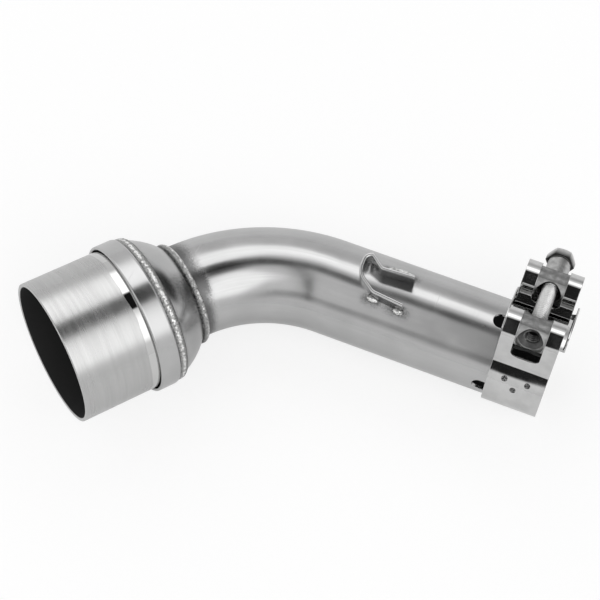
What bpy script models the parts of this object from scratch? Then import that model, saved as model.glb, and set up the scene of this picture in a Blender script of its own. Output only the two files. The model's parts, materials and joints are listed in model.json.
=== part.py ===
# Exhaust mid pipe for a motorbike: a bent stainless tube that opens through a domed reducer
# into a wide outlet sleeve, with a welded side bracket and a two trunnion band clamp.
#
# The pipe is modelled in its bend plane: the centreline's bend starts at the origin, the
# clamped inlet end runs along +X and the bend turns towards -Y. Turned parts lie along the
# local X of the inlet axis or the outlet axis. The finished part is then laid down on Z = 0.

import math

import bmesh
import bpy
from mathutils import Matrix, Vector

MM = 0.001

# Clearances
SEAT_GAP = 0.3 * MM          # between pieces that touch
LAP_GAP = 0.1 * MM           # between the two layers of one folded strip
BORE_CLEARANCE = 0.2 * MM    # bolt in the tapped barrel, on the radius
PLAIN_CLEARANCE = 0.3 * MM   # bolt in the plain barrel and the bush, on the radius

# Bent pipe
PIPE_RADIUS = 19.05 * MM
PIPE_WALL = 1.2 * MM
BEND_RADIUS = 63.6 * MM
BEND_ANGLE = math.radians(53.2)
INLET_LENGTH = 92.2 * MM     # straight from the bend to the clamped end
SLOT_WIDTH = 5.8 * MM
SLOT_LENGTH = 26.7 * MM
SLOT_COUNT = 4
SLOT_TURN = math.radians(-4)

# Collar and outlet sleeve
SLEEVE_RADIUS = 28.65 * MM
SLEEVE_WALL = 1.4 * MM
SLEEVE_LENGTH = 41.5 * MM
COLLAR_WALL = 1.25 * MM
COLLAR_LENGTH = 8.4 * MM
COLLAR_LIFT = 0.55 * MM      # gap at the lip between collar and sleeve

# Reducer dome, a zone of a sphere centred on the outlet axis, whose rim meets the sleeve
DOME_WALL = 1.5 * MM
DOME_CENTRE = 26.65 * MM     # from the end of the bend
DOME_END = 16.55 * MM
DOME_RIM_STEP = 0.24 * MM    # rim of the dome over the sleeve's radius
DOME_RADIUS = math.hypot(SLEEVE_RADIUS + DOME_RIM_STEP, DOME_CENTRE - DOME_END)
DOME_START = DOME_CENTRE - math.sqrt(DOME_RADIUS ** 2 - PIPE_RADIUS ** 2)
STUB_LAP = 2.7 * MM          # how far the pipe stands inside the dome
OUTLET_STUB = DOME_START + STUB_LAP

# Weld beads
PIPE_BEAD_LEG = 2.2 * MM
PIPE_BEAD_CROWN = 0.45 * MM
COLLAR_BEAD_WIDTH = 1.8 * MM
COLLAR_BEAD_TOE = 1.1 * MM   # how far it laps over the dome
COLLAR_BEAD_HEIGHT = 0.9 * MM
COLLAR_BEAD_EDGE = 0.1 * MM

# Side bracket: a strip on edge, bent to a keyhole loop. Across is square to the pipe's axis.
BRACKET_TURN = math.radians(-16)
BRACKET_TOP = 25.0 * MM      # rim, from the pipe's axis
STRIP_THICKNESS = 1.4 * MM
STRIP_EDGE = 0.35 * MM       # chamfer along the rim
LOOP_LEFT = 11.9 * MM        # along the pipe from the bend
NECK = 19.6 * MM
NEAR_LEG_END = 32.0 * MM
FAR_LEG_END = 32.5 * MM
NEAR_LEG_NECK = -4.25 * MM   # across the pipe
NEAR_LEG_OPEN = -5.5 * MM
FAR_LEG_NECK = 5.75 * MM
FAR_LEG_OPEN = 6.5 * MM
LOOP_NEAR_CORNER = 1.2 * MM
LOOP_FAR_CORNER = 8.4 * MM
LOOP_TIP_ALONG = 14.3 * MM
LOOP_TIP_ACROSS = 9.9 * MM
NEAR_NECK_BEND = 4.0 * MM
LOOP_NEAR_BEND = 7.0 * MM
LOOP_FAR_BEND = 3.0 * MM
LOOP_TIP_BEND = 0.9 * MM
FAR_NECK_BEND = 1.5 * MM
NEAR_WELD_LEG = 1.5 * MM
NEAR_WELD_LENGTH = 4.6 * MM
FAR_WELD_LEG = 2.7 * MM
FAR_WELD_LENGTH = 12.0 * MM
FAR_WELD_RIPPLES = 3
WELD_RIPPLE = 0.16           # share of the leg between two ripples

# Band clamp. Its gap looks along the clamp's +Z, its bolt runs along the clamp's Y.
CLAMP_SETBACK = 10.7 * MM          # middle of the band, from the pipe's clamped end
CLAMP_TURN = math.radians(10.5)
BAND_WIDTH = 22.0 * MM
BAND_THICKNESS = 0.7 * MM
LAP_END = math.radians(96)         # free end, from the middle of the gap
LOOP_FOOT = math.radians(60.5)     # where the outer layer leaves the pipe
FOOT_BEND = 2.5 * MM
WALL_BEND = 1.2 * MM
WINDOW_WIDTH = 11.2 * MM
WINDOW_CORNER = 3.0 * MM
OUTER_WINDOW_LOW = 17.0 * MM
INNER_WINDOW_LOW = 22.6 * MM
WINDOW_LAP = 0.5 * MM

BOLT_HEIGHT = 26.7 * MM
TRUNNION_OFFSET = 13.8 * MM
TRUNNION_RADIUS = 6.3 * MM
TRUNNION_LENGTH = 21.6 * MM
SPOT_FACE_RADIUS = 5.3 * MM
SPOT_FACE_DEPTH = 3.0 * MM
TRUNNION_EDGE = 0.4 * MM
SINK_RADIUS = 4.7 * MM       # countersink of the bores
SINK_DEPTH = 1.1 * MM

BRIDGE_THICKNESS = 0.7 * MM
BRIDGE_TURN = math.radians(6)
BRIDGE_HALF_ANGLE = math.radians(44)
BRIDGE_SIDE_ANGLE = math.radians(23)
BRIDGE_SIDE_END = math.radians(33)
BRIDGE_SIDE_HEIGHT = 5.6 * MM
BRIDGE_PLAY = 1.2 * MM       # between the band and the side next to the pipe's end
BRIDGE_TONGUE_INSET = 0.5 * MM

BOLT_RADIUS = 3.0 * MM
BOLT_LENGTH = 40.0 * MM
BOLT_POINT = 0.7 * MM
HEAD_ACROSS_FLATS = 10.0 * MM
HEAD_HEIGHT = 4.0 * MM
WASHER_FACE_RADIUS = 4.7 * MM
WASHER_FACE_HEIGHT = 0.4 * MM
CROWN_RADIUS = 4.75 * MM     # flat top of the head, inside its chamfered corners
CROWN_ANGLE = math.radians(30)
BUSH_RADIUS = 4.75 * MM
BUSH_LENGTH = 9.2 * MM
BUSH_EDGE = 0.4 * MM

# Facets round a full turn
PIPE_SIDES = 48
SLEEVE_SIDES = 64
BAND_STEP = math.radians(7)
ROUND_SIDES = 32
BEND_STEPS = 12


def polar(radius, angle):
    """Point in the clamp's (Y, Z) plane, the angle counted from +Z towards +Y."""
    return Vector((radius * math.sin(angle), radius * math.cos(angle)))


def arc(centre, radius, start, end, step):
    """Points from one polar angle to another round a centre, both ends included."""
    count = max(1, round(abs(end - start) / step))
    return [centre + polar(radius, start + (end - start) * i / count) for i in range(count + 1)]


def bearing(vector):
    """Angle of a 2D vector from +Z towards +Y."""
    return math.atan2(vector.x, vector.y)


def steel(name, grey, roughness):
    material = bpy.data.materials.new(name)
    material.use_nodes = True
    shader = material.node_tree.nodes["Principled BSDF"]
    shader.inputs["Base Color"].default_value = (grey, grey, grey * 0.99, 1.0)
    shader.inputs["Metallic"].default_value = 1.0
    shader.inputs["Roughness"].default_value = roughness
    return material


def add_object(name, bm, parent, material):
    """Closes a bmesh into a named object under its parent."""
    bmesh.ops.recalc_face_normals(bm, faces=bm.faces)
    mesh = bpy.data.meshes.new(name)
    bm.to_mesh(mesh)
    bm.free()
    mesh.shade_smooth()
    mesh.set_sharp_from_angle(angle=math.radians(35))
    obj = bpy.data.objects.new(name, mesh)
    bpy.context.scene.collection.objects.link(obj)
    obj.parent = parent
    if material is not None:
        mesh.materials.append(material)
    return obj


def add_cutter(name, bm, parent):
    cutter = add_object(name, bm, parent, None)
    cutter.hide_render = True
    cutter.display_type = "WIRE"
    return cutter


def combine(target, other, operation="DIFFERENCE"):
    """Cuts or joins with another object, which stays in the file as a hidden tool."""
    modifier = target.modifiers.new(f"{operation.lower()}_{other.name}", "BOOLEAN")
    modifier.operation = operation
    modifier.object = other
    modifier.solver = "EXACT"


def skin(rings, wrap=False):
    """A closed mesh through rings of points, wrapped round on itself or capped at both ends."""
    bm = bmesh.new()
    rows = [[bm.verts.new(point) for point in ring] for ring in rings]
    following = rows[1:] + rows[:1] if wrap else rows[1:]
    for row, after in zip(rows, following):
        for i in range(len(row)):
            j = (i + 1) % len(row)
            bm.faces.new((row[i], row[j], after[j], after[i]))
    if not wrap:
        bm.faces.new(rows[0])
        bm.faces.new(rows[-1])
    return bm


def turned(profile, sides, axis=(1, 0, 0)):
    """Spins a closed profile of (along, radius) points round an axis through the origin."""
    along = Vector(axis)
    out = along.orthogonal().normalized()
    bm = bmesh.new()
    corners = [bm.verts.new(along * a + out * r) for a, r in profile]
    edges = [bm.edges.new(pair) for pair in zip(corners, corners[1:] + corners[:1])]
    bmesh.ops.spin(bm, geom=corners + edges, axis=along, cent=(0, 0, 0), steps=sides,
                   angle=math.tau, use_merge=True)
    bmesh.ops.remove_doubles(bm, verts=bm.verts, dist=1e-6)
    return bm


def solid_turned(profile, sides, axis):
    """Like turned, for a solid whose open profile starts and ends on the axis."""
    along = Vector(axis)
    out = along.orthogonal().normalized()
    turn = Matrix.Rotation
    rings = [[along * a + turn(math.tau * i / sides, 3, along) @ out * r for i in range(sides)]
             for a, r in profile]
    return skin(rings)


def prism(outline, start, end):
    """Extrudes a flat outline of points from one offset to another."""
    return skin([[point + offset for point in outline] for offset in (start, end)])


def bend_frame(distance):
    """Centre and direction of the pipe at a distance past the start of the bend."""
    turned_by = min(max(distance / BEND_RADIUS, 0.0), BEND_ANGLE)
    straight = distance - turned_by * BEND_RADIUS
    direction = Vector((-math.cos(turned_by), -math.sin(turned_by), 0))
    centre = Vector((-math.sin(turned_by), math.cos(turned_by) - 1, 0)) * BEND_RADIUS
    return centre + direction * straight, direction


def pipe_ring(distance, radius):
    centre, direction = bend_frame(distance)
    side = Vector((0, 0, 1)).cross(direction)
    angles = [math.tau * i / PIPE_SIDES for i in range(PIPE_SIDES)]
    return [centre + radius * (side * math.cos(a) + Vector((0, 0, math.sin(a)))) for a in angles]


def slot_cutter(index, parent):
    """A slot with a round end, which runs out past the pipe's clamped end."""
    half = SLOT_WIDTH / 2
    tip = INLET_LENGTH - SLOT_LENGTH + half
    past = INLET_LENGTH + SLOT_WIDTH
    steps = 10
    turns = [math.pi / 2 + math.pi * i / steps for i in range(steps + 1)]
    outline = [Vector((past, -half)), Vector((past, half))]
    outline += [Vector((tip + half * math.cos(a), half * math.sin(a))) for a in turns]
    place = Matrix.Rotation(-SLOT_TURN - math.tau * index / SLOT_COUNT, 3, "X")
    rings = [[place @ Vector((p.x, p.y, height)) for p in outline]
             for height in (PIPE_RADIUS - 3 * PIPE_WALL, PIPE_RADIUS + 2 * PIPE_WALL)]
    return add_cutter(f"slot_cutter_{index + 1}", skin(rings), parent)


def build_pipe(inlet, material):
    length = BEND_RADIUS * BEND_ANGLE
    stations = [-INLET_LENGTH, SLOT_LENGTH + SLOT_WIDTH / 2 - INLET_LENGTH]
    stations += [length * i / BEND_STEPS for i in range(BEND_STEPS + 1)]
    stations.append(length + OUTLET_STUB)
    outer = [pipe_ring(s, PIPE_RADIUS) for s in stations]
    inner = [pipe_ring(s, PIPE_RADIUS - PIPE_WALL) for s in reversed(stations)]
    pipe = add_object("bent_pipe", skin(outer + inner, wrap=True), inlet, material)
    for index in range(SLOT_COUNT):
        combine(pipe, slot_cutter(index, inlet))


def sphere_zone(radius, small_radius, steps, far):
    """Points along a sphere's profile from a small radius out to the dome's wide end."""
    start = math.asin(small_radius / radius)
    end = math.acos((DOME_CENTRE - far) / radius)
    angles = [start + (end - start) * i / steps for i in range(steps + 1)]
    return [(DOME_CENTRE - radius * math.cos(a), radius * math.sin(a)) for a in angles]


def build_dome(outlet, material):
    hole = PIPE_RADIUS + SEAT_GAP
    outer = sphere_zone(DOME_RADIUS, hole, 7, DOME_END)
    inner = sphere_zone(DOME_RADIUS - DOME_WALL, hole, 4, DOME_END)
    add_object("reducer_dome", turned(outer + inner[::-1], SLEEVE_SIDES), outlet, material)


def build_pipe_weld(outlet, material):
    """Bead in the corner between the pipe and the dome, a gap clear of both."""
    on_pipe = PIPE_RADIUS + SEAT_GAP
    ball = DOME_RADIUS + SEAT_GAP
    corner_angle = math.asin(on_pipe / ball)
    corner = Vector((DOME_CENTRE - ball * math.cos(corner_angle), on_pipe))
    high_angle = corner_angle + PIPE_BEAD_LEG / ball
    high = Vector((DOME_CENTRE - ball * math.cos(high_angle), ball * math.sin(high_angle)))
    low = corner - Vector((PIPE_BEAD_LEG, 0))
    out = Vector((low.y - high.y, high.x - low.x)).normalized()
    steps = 5
    crown = []
    for i in range(steps + 1):
        share = i / steps
        crown.append(high.lerp(low, share) + out * PIPE_BEAD_CROWN * math.sin(math.pi * share))
    profile = [tuple(corner)] + [tuple(point) for point in crown]
    add_object("pipe_weld", turned(profile, PIPE_SIDES), outlet, material)


def collar_weld_end():
    """Where the bead's collar side stands along the outlet axis."""
    return DOME_END + SEAT_GAP + COLLAR_BEAD_WIDTH


def build_collar_weld(outlet, material):
    base = SLEEVE_RADIUS + SEAT_GAP
    high = collar_weld_end()
    low = DOME_END - COLLAR_BEAD_TOE
    toe = base + COLLAR_BEAD_EDGE
    steps = 5
    crown = []
    for i in range(steps + 1):
        share = i / steps
        rise = (COLLAR_BEAD_HEIGHT - COLLAR_BEAD_EDGE) * math.cos(math.pi / 2 * share) ** 0.8
        crown.append((high + (low - high) * share, toe + rise))
    add_object("collar_weld", turned([(low, base), (high, base)] + crown, SLEEVE_SIDES),
               outlet, material)


def build_collar(outlet, material):
    inner = SLEEVE_RADIUS + COLLAR_LIFT
    outer = inner + COLLAR_WALL
    back = collar_weld_end() + SEAT_GAP
    front = back + COLLAR_LENGTH
    lip = COLLAR_WALL / 2
    steps = 5
    profile = [(back, inner)]
    for i in range(steps + 1):
        a = math.pi * i / steps
        profile.append((front - lip + lip * math.sin(a), inner + lip - lip * math.cos(a)))
    shoulder = 0.75 * COLLAR_WALL
    for i in range(3):
        a = math.pi / 2 * i / 2
        profile.append((back + shoulder - shoulder * math.sin(a),
                        outer - shoulder + shoulder * math.cos(a)))
    add_object("collar_ring", turned(profile, SLEEVE_SIDES), outlet, material)


def build_sleeve(outlet, material):
    root = DOME_END + SEAT_GAP
    mouth = root + SLEEVE_LENGTH
    inner = SLEEVE_RADIUS - SLEEVE_WALL
    edge = SLEEVE_WALL / 5
    profile = [(root, inner), (mouth - edge, inner), (mouth, inner + edge),
               (mouth, SLEEVE_RADIUS - edge), (mouth - edge, SLEEVE_RADIUS), (root, SLEEVE_RADIUS)]
    add_object("outlet_sleeve", turned(profile, SLEEVE_SIDES), outlet, material)


def rounded_path(corners):
    """A polyline through (along, across, bend radius) corners, with an arc at each bend."""
    points = [Vector(corners[0][:2])]
    for before, here, after in zip(corners, corners[1:], corners[2:]):
        corner = Vector(here[:2])
        back = (Vector(before[:2]) - corner).normalized()
        on = (Vector(after[:2]) - corner).normalized()
        half = math.acos(max(-1.0, min(1.0, back.dot(on)))) / 2
        centre = corner + (back + on).normalized() * here[2] / math.sin(half)
        start = corner + back * here[2] / math.tan(half) - centre
        turn = (math.pi - 2 * half) * (1 if back.x * on.y - back.y * on.x < 0 else -1)
        steps = max(2, round(abs(turn) / math.radians(12)))
        for i in range(steps + 1):
            spin = Matrix.Rotation(turn * i / steps, 2)
            points.append(centre + spin @ start)
    points.append(Vector(corners[-1][:2]))
    return points


def side_normals(points):
    """Left hand mitre vectors of a polyline, each of the length that keeps the width."""
    normals = []
    for i in range(len(points)):
        before = points[max(i - 1, 0)]
        after = points[min(i + 1, len(points) - 1)]
        here = points[i]
        ahead = (after - here).normalized() if after != here else (here - before).normalized()
        behind = (here - before).normalized() if before != here else ahead
        mean = (ahead + behind).normalized()
        normal = Vector((-mean.y, mean.x))
        normals.append(normal / max(0.5, mean.dot(ahead)))
    return normals


def bracket_path():
    return rounded_path([
        (NEAR_LEG_END, NEAR_LEG_OPEN, 0),
        (NECK, NEAR_LEG_NECK, NEAR_NECK_BEND),
        (LOOP_LEFT, LOOP_NEAR_CORNER, LOOP_NEAR_BEND),
        (LOOP_LEFT, LOOP_FAR_CORNER, LOOP_FAR_BEND),
        (LOOP_TIP_ALONG, LOOP_TIP_ACROSS, LOOP_TIP_BEND),
        (NECK, FAR_LEG_NECK, FAR_NECK_BEND),
        (FAR_LEG_END, FAR_LEG_OPEN, 0),
    ])


def strip_solid(thickness, top, edge):
    """The bracket's strip, standing on edge from inside the pipe up to its rim."""
    path = bracket_path()
    half = thickness / 2
    low = PIPE_RADIUS / 2
    section = [(-half, low), (half, low), (half, top - edge), (half - edge, top),
               (edge - half, top), (-half, top - edge)]
    rings = []
    for point, normal in zip(path, side_normals(path)):
        places = [(point + normal * offset, height) for offset, height in section]
        rings.append([Vector((flat.x, flat.y, height)) for flat, height in places])
    return skin(rings)


def pipe_clearance(name, parent):
    """Cutter that keeps a piece a seat gap above the straight inlet pipe."""
    radius = PIPE_RADIUS + SEAT_GAP
    profile = [(-PIPE_RADIUS, radius), (INLET_LENGTH, radius)]
    return add_cutter(name, solid_turned(profile, 2 * PIPE_SIDES, (1, 0, 0)), parent)


def build_bracket(saddle, material):
    strip = add_object("side_bracket", strip_solid(STRIP_THICKNESS, BRACKET_TOP, STRIP_EDGE),
                       saddle, material)
    combine(strip, pipe_clearance("bracket_seat", saddle))


def leg_across(along, neck, opened, end):
    """Across position of a leg's middle at a distance along the pipe."""
    return neck + (opened - neck) * (along - NECK) / (end - NECK)


def rippled_bead(length, leg, ripples):
    """Profile of a weld bead along its run, with one swell for each ripple."""
    steps = 4 * ripples + 2
    profile = []
    for i in range(steps + 1):
        share = i / steps
        swell = 1 - WELD_RIPPLE * (1 - abs(math.sin(math.pi * ripples * share)))
        end = max(0.05, math.sin(math.pi * share)) ** 0.4
        profile.append((length * (share - 0.5), leg * swell * end))
    return profile


def bead_offset(leg):
    """From the middle of the strip, so that the bead doesn't come out on its inner side."""
    return leg - STRIP_THICKNESS / 2


def build_bracket_weld(name, middle, across, bead, saddle, material):
    """A bead at the foot of a leg, cut back a gap from the pipe and the strip."""
    seat = empty(f"{name}_seat", saddle)
    seat.location = (middle, across, math.sqrt(PIPE_RADIUS ** 2 - across ** 2))
    weld = add_object(name, solid_turned(bead, 14, (1, 0, 0)), seat, material)
    combine(weld, bpy.data.objects["bracket_seat"])
    combine(weld, bpy.data.objects["strip_clearance"])


def build_bracket_welds(saddle, material):
    thick = STRIP_THICKNESS + 2 * SEAT_GAP
    add_cutter("strip_clearance", strip_solid(thick, BRACKET_TOP + SEAT_GAP, STRIP_EDGE), saddle)
    near = rippled_bead(NEAR_WELD_LENGTH, NEAR_WELD_LEG, 1)
    far = rippled_bead(FAR_WELD_LENGTH, FAR_WELD_LEG, FAR_WELD_RIPPLES)
    for index, along in enumerate((NECK + NEAR_WELD_LENGTH / 2 - 1.5 * STRIP_THICKNESS,
                                   NEAR_LEG_END - NEAR_WELD_LENGTH / 3)):
        across = leg_across(along, NEAR_LEG_NECK, NEAR_LEG_OPEN, NEAR_LEG_END)
        build_bracket_weld(f"bracket_weld_{index + 1}", along, across - bead_offset(NEAR_WELD_LEG),
                           near, saddle, material)
    along = (NECK + FAR_LEG_END) / 2
    across = leg_across(along, FAR_LEG_NECK, FAR_LEG_OPEN, FAR_LEG_END)
    build_bracket_weld("bracket_weld_3", along, across + bead_offset(FAR_WELD_LEG), far,
                       saddle, material)


def layer_radius():
    """Middle of the band's layer that lies on the pipe."""
    return PIPE_RADIUS + SEAT_GAP + BAND_THICKNESS / 2


def band_half():
    """Middle line of one half of the band in the clamp's (Y, Z) plane, on the -Y side.

    It runs from the free end under the lap, over the bridge plate, up the wall beside the
    gap, round the trunnion, down to the foot and round the pipe to the point opposite."""
    inner = layer_radius()
    outer = inner + BAND_THICKNESS + LAP_GAP
    raised = PIPE_RADIUS + BRIDGE_THICKNESS + 2 * SEAT_GAP + BAND_THICKNESS / 2
    loop_radius = TRUNNION_RADIUS + SEAT_GAP + BAND_THICKNESS / 2
    loop = Vector((-TRUNNION_OFFSET, BOLT_HEIGHT))
    wall = loop.x + loop_radius

    # Under the lap and over the end of the bridge plate
    joggle_low = LOOP_FOOT - math.radians(3)
    joggle_high = BRIDGE_HALF_ANGLE + abs(BRIDGE_TURN) + math.radians(2)
    centre = Vector((0, 0))
    points = arc(centre, inner, -LAP_END, -joggle_low, BAND_STEP)
    wall_centre_y = wall - WALL_BEND
    wall_centre = Vector((wall_centre_y, math.sqrt((raised + WALL_BEND) ** 2 - wall_centre_y ** 2)))
    leave = bearing(wall_centre)
    points += arc(centre, raised, -joggle_high, leave, BAND_STEP)

    # Up the wall beside the gap and round the trunnion
    down = bearing(-wall_centre)
    points += arc(wall_centre, WALL_BEND, down, math.radians(90), math.radians(20))[1:]
    foot = polar(outer + FOOT_BEND, -LOOP_FOOT)
    span = loop - foot
    lean = math.asin((FOOT_BEND + loop_radius) / span.length)
    travel = Matrix.Rotation(lean, 2) @ span.normalized()
    left = Vector((-travel.y, travel.x))
    points += arc(loop, loop_radius, math.radians(90), bearing(left), math.radians(10))

    # Down to the foot and round the pipe
    touch = bearing(-left)
    points += arc(foot, FOOT_BEND, touch, bearing(-foot) % math.tau, math.radians(10))
    points += arc(centre, outer, -LOOP_FOOT, -math.pi, BAND_STEP)[1:]
    return points


def window_cutter(name, low, start, end, clamp):
    """A prism along the bolt, as wide as the window, with its lower corners cut off."""
    half = WINDOW_WIDTH / 2
    high = BOLT_HEIGHT + 2 * TRUNNION_RADIUS
    outline = [(half, high), (-half, high), (-half, low + WINDOW_CORNER),
               (WINDOW_CORNER - half, low), (half - WINDOW_CORNER, low),
               (half, low + WINDOW_CORNER)]
    flat = [Vector((x, 0, z)) for x, z in outline]
    return add_cutter(name, prism(flat, Vector((0, start, 0)), Vector((0, end, 0))), clamp)


def build_band(clamp, material):
    half = band_half()
    path = half + [Vector((-p.x, p.y)) for p in reversed(half[:-1])]
    normals = side_normals(path)
    rings = []
    for point, normal in zip(path, normals):
        sides = [point + normal * BAND_THICKNESS / 2, point - normal * BAND_THICKNESS / 2]
        corners = [(-1, sides[0]), (1, sides[0]), (1, sides[1]), (-1, sides[1])]
        rings.append([Vector((x * BAND_WIDTH / 2, p.x, p.y)) for x, p in corners])
    band = add_object("clamp_band", skin(rings), clamp, material)
    reach = TRUNNION_OFFSET + 2 * TRUNNION_RADIUS
    for label, sign in (("near", -1), ("far", 1)):
        outer = window_cutter(f"outer_window_{label}", OUTER_WINDOW_LOW,
                              sign * (TRUNNION_OFFSET - WINDOW_LAP), sign * reach, clamp)
        inner = window_cutter(f"inner_window_{label}", INNER_WINDOW_LOW, sign * WINDOW_LAP,
                              sign * (TRUNNION_OFFSET + WINDOW_LAP), clamp)
        combine(band, outer)
        combine(band, inner)


def bridge_section(angle):
    """Cross-section at an angle from the plate's middle: a channel, then a plain tongue."""
    low = PIPE_RADIUS + SEAT_GAP
    high = low + BRIDGE_THICKNESS
    back = -BAND_WIDTH / 2 - SEAT_GAP
    front = -back + BRIDGE_PLAY
    over = (abs(angle) - BRIDGE_SIDE_ANGLE) / (BRIDGE_SIDE_END - BRIDGE_SIDE_ANGLE)
    side = high + SEAT_GAP
    if over < 1:
        side += (BRIDGE_SIDE_HEIGHT - BRIDGE_THICKNESS) * math.sqrt(1 - max(0.0, over) ** 2)
    outline = [(back - BRIDGE_THICKNESS, low), (front + BRIDGE_THICKNESS, low),
               (front + BRIDGE_THICKNESS, side), (front, side), (front, high), (back, high),
               (back, side), (back - BRIDGE_THICKNESS, side)]
    if over < 1:
        return outline
    reach = BAND_WIDTH / 2 - BRIDGE_TONGUE_INSET
    top = [(reach * share, high) for share in (1, 0.9, 0.8, -0.8, -0.9, -1)]
    return [(-reach, low), (reach, low)] + top


def build_bridge(clamp, material):
    """Plate under the gap, bent round the pipe, with a rounded upturned side on each edge."""
    steps = 24
    rings = []
    for i in range(steps + 1):
        angle = BRIDGE_HALF_ANGLE * (2 * i / steps - 1)
        ring = []
        for x, radius in bridge_section(angle):
            flat = polar(radius, angle + BRIDGE_TURN)
            ring.append(Vector((x, flat.x, flat.y)))
        rings.append(ring)
    add_object("bridge_plate", skin(rings), clamp, material)


def build_trunnion(name, side, bore, clamp, material):
    """Cross barrel with a spot face on both flanks and a bore along the bolt."""
    half = TRUNNION_LENGTH / 2
    edge = half - TRUNNION_EDGE
    end_radius = TRUNNION_RADIUS - TRUNNION_EDGE
    profile = [(-half, end_radius), (-edge, TRUNNION_RADIUS),
               (edge, TRUNNION_RADIUS), (half, end_radius)]
    seat = empty(f"{name}_seat", clamp)
    seat.location = (0, side * TRUNNION_OFFSET, BOLT_HEIGHT)
    barrel = add_object(name, solid_turned(profile, ROUND_SIDES, (1, 0, 0)), seat, material)
    flat = TRUNNION_RADIUS - SPOT_FACE_DEPTH
    for flank in (-1, 1):
        face = [(flank * (flat - SINK_DEPTH), bore / 2), (flank * (flat - SINK_DEPTH), bore),
                (flank * flat, SINK_RADIUS), (flank * flat, SPOT_FACE_RADIUS),
                (flank * 2 * TRUNNION_RADIUS, SPOT_FACE_RADIUS)]
        cutter = solid_turned(face, ROUND_SIDES, (0, 1, 0))
        combine(barrel, add_cutter(f"{name}_spot_{flank + 2}", cutter, seat))
    hole = [(-2 * TRUNNION_RADIUS, bore), (2 * TRUNNION_RADIUS, bore)]
    combine(barrel, add_cutter(f"{name}_bore", solid_turned(hole, ROUND_SIDES, (0, 1, 0)), seat))


def bush_start():
    """Where the bush stands on the far trunnion's spot face, along the bolt."""
    return TRUNNION_OFFSET + TRUNNION_RADIUS - SPOT_FACE_DEPTH + SEAT_GAP


def build_bush(clamp, material):
    seat = empty("bush_seat", clamp)
    seat.location = (0, bush_start(), BOLT_HEIGHT)
    bore = BOLT_RADIUS + PLAIN_CLEARANCE
    profile = [(0, bore), (BUSH_LENGTH, bore), (BUSH_LENGTH, BUSH_RADIUS - BUSH_EDGE),
               (BUSH_LENGTH - BUSH_EDGE, BUSH_RADIUS), (BUSH_EDGE, BUSH_RADIUS),
               (0, BUSH_RADIUS - BUSH_EDGE)]
    add_object("spacer_bush", turned(profile, ROUND_SIDES, (0, 1, 0)), seat, material)


def build_bolt(clamp, material):
    """Hexagon bolt on its own axis: the origin is under the head, the shank runs to -Y."""
    seat = empty("bolt_axis", clamp)
    seat.location = (0, bush_start() + BUSH_LENGTH + SEAT_GAP, BOLT_HEIGHT)
    point = BOLT_RADIUS - BOLT_POINT
    profile = [(-BOLT_LENGTH, point), (BOLT_POINT - BOLT_LENGTH, BOLT_RADIUS), (0, BOLT_RADIUS),
               (0, WASHER_FACE_RADIUS), (2 * WASHER_FACE_HEIGHT, WASHER_FACE_RADIUS)]
    bolt = add_object("clamp_bolt", solid_turned(profile, ROUND_SIDES, (0, 1, 0)), seat, material)
    corner = HEAD_ACROSS_FLATS / math.sqrt(3)
    hexagon = [(WASHER_FACE_HEIGHT, corner), (HEAD_HEIGHT, corner)]
    head = add_cutter("bolt_head", solid_turned(hexagon, 6, (0, 1, 0)), seat)
    drop = corner * math.tan(CROWN_ANGLE)
    crown = [(WASHER_FACE_HEIGHT / 2, CROWN_RADIUS + corner),
             (HEAD_HEIGHT - drop, CROWN_RADIUS + corner),
             (HEAD_HEIGHT + drop / 2, CROWN_RADIUS - corner / 2)]
    combine(head, add_cutter("head_crown", solid_turned(crown, ROUND_SIDES, (0, 1, 0)), seat),
            "INTERSECT")
    combine(bolt, head, "UNION")


def world_points(objects):
    """Finished points of some objects, where they stand in the world."""
    graph = bpy.context.evaluated_depsgraph_get()
    points = []
    for obj in objects:
        finished = obj.evaluated_get(graph)
        points += [finished.matrix_world @ vertex.co for vertex in finished.data.vertices]
    return points


def resting_direction(feet):
    """Which way is down once the three feet, each a list of points, stand on one floor."""
    down = Vector((0, 0, -1))
    for _ in range(40):
        first, second, third = [max(points, key=down.dot) for points in feet]
        normal = (second - first).cross(third - first).normalized()
        if normal.dot(down) < 0:
            normal.negate()
        down = (down + normal).normalized()
    return down


def lay_down(laid):
    """Sets the part down on the clamp, the bend and the reducer, its inlet along +X."""
    parts = bpy.data.objects
    bpy.context.view_layer.update()
    feet = [world_points([parts["clamp_band"]]), world_points([parts["bent_pipe"]]),
            world_points([parts["collar_weld"], parts["collar_ring"], parts["reducer_dome"]])]
    up = -resting_direction(feet)
    along = Vector((1, 0, 0)) - up * up.x
    along.normalize()
    turn = Matrix((along, up.cross(along), up)).to_4x4()
    laid.rotation_euler = turn.to_euler()
    bpy.context.view_layer.update()
    spread = world_points([obj for obj in parts if obj.type == "MESH" and not obj.hide_render])
    low = Vector([min(point[axis] for point in spread) for axis in range(3)])
    high = Vector([max(point[axis] for point in spread) for axis in range(3)])
    laid.location = (-(low.x + high.x) / 2, -(low.y + high.y) / 2, -low.z)


def empty(name, parent=None):
    holder = bpy.data.objects.new(name, None)
    bpy.context.scene.collection.objects.link(holder)
    holder.parent = parent
    return holder


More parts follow.
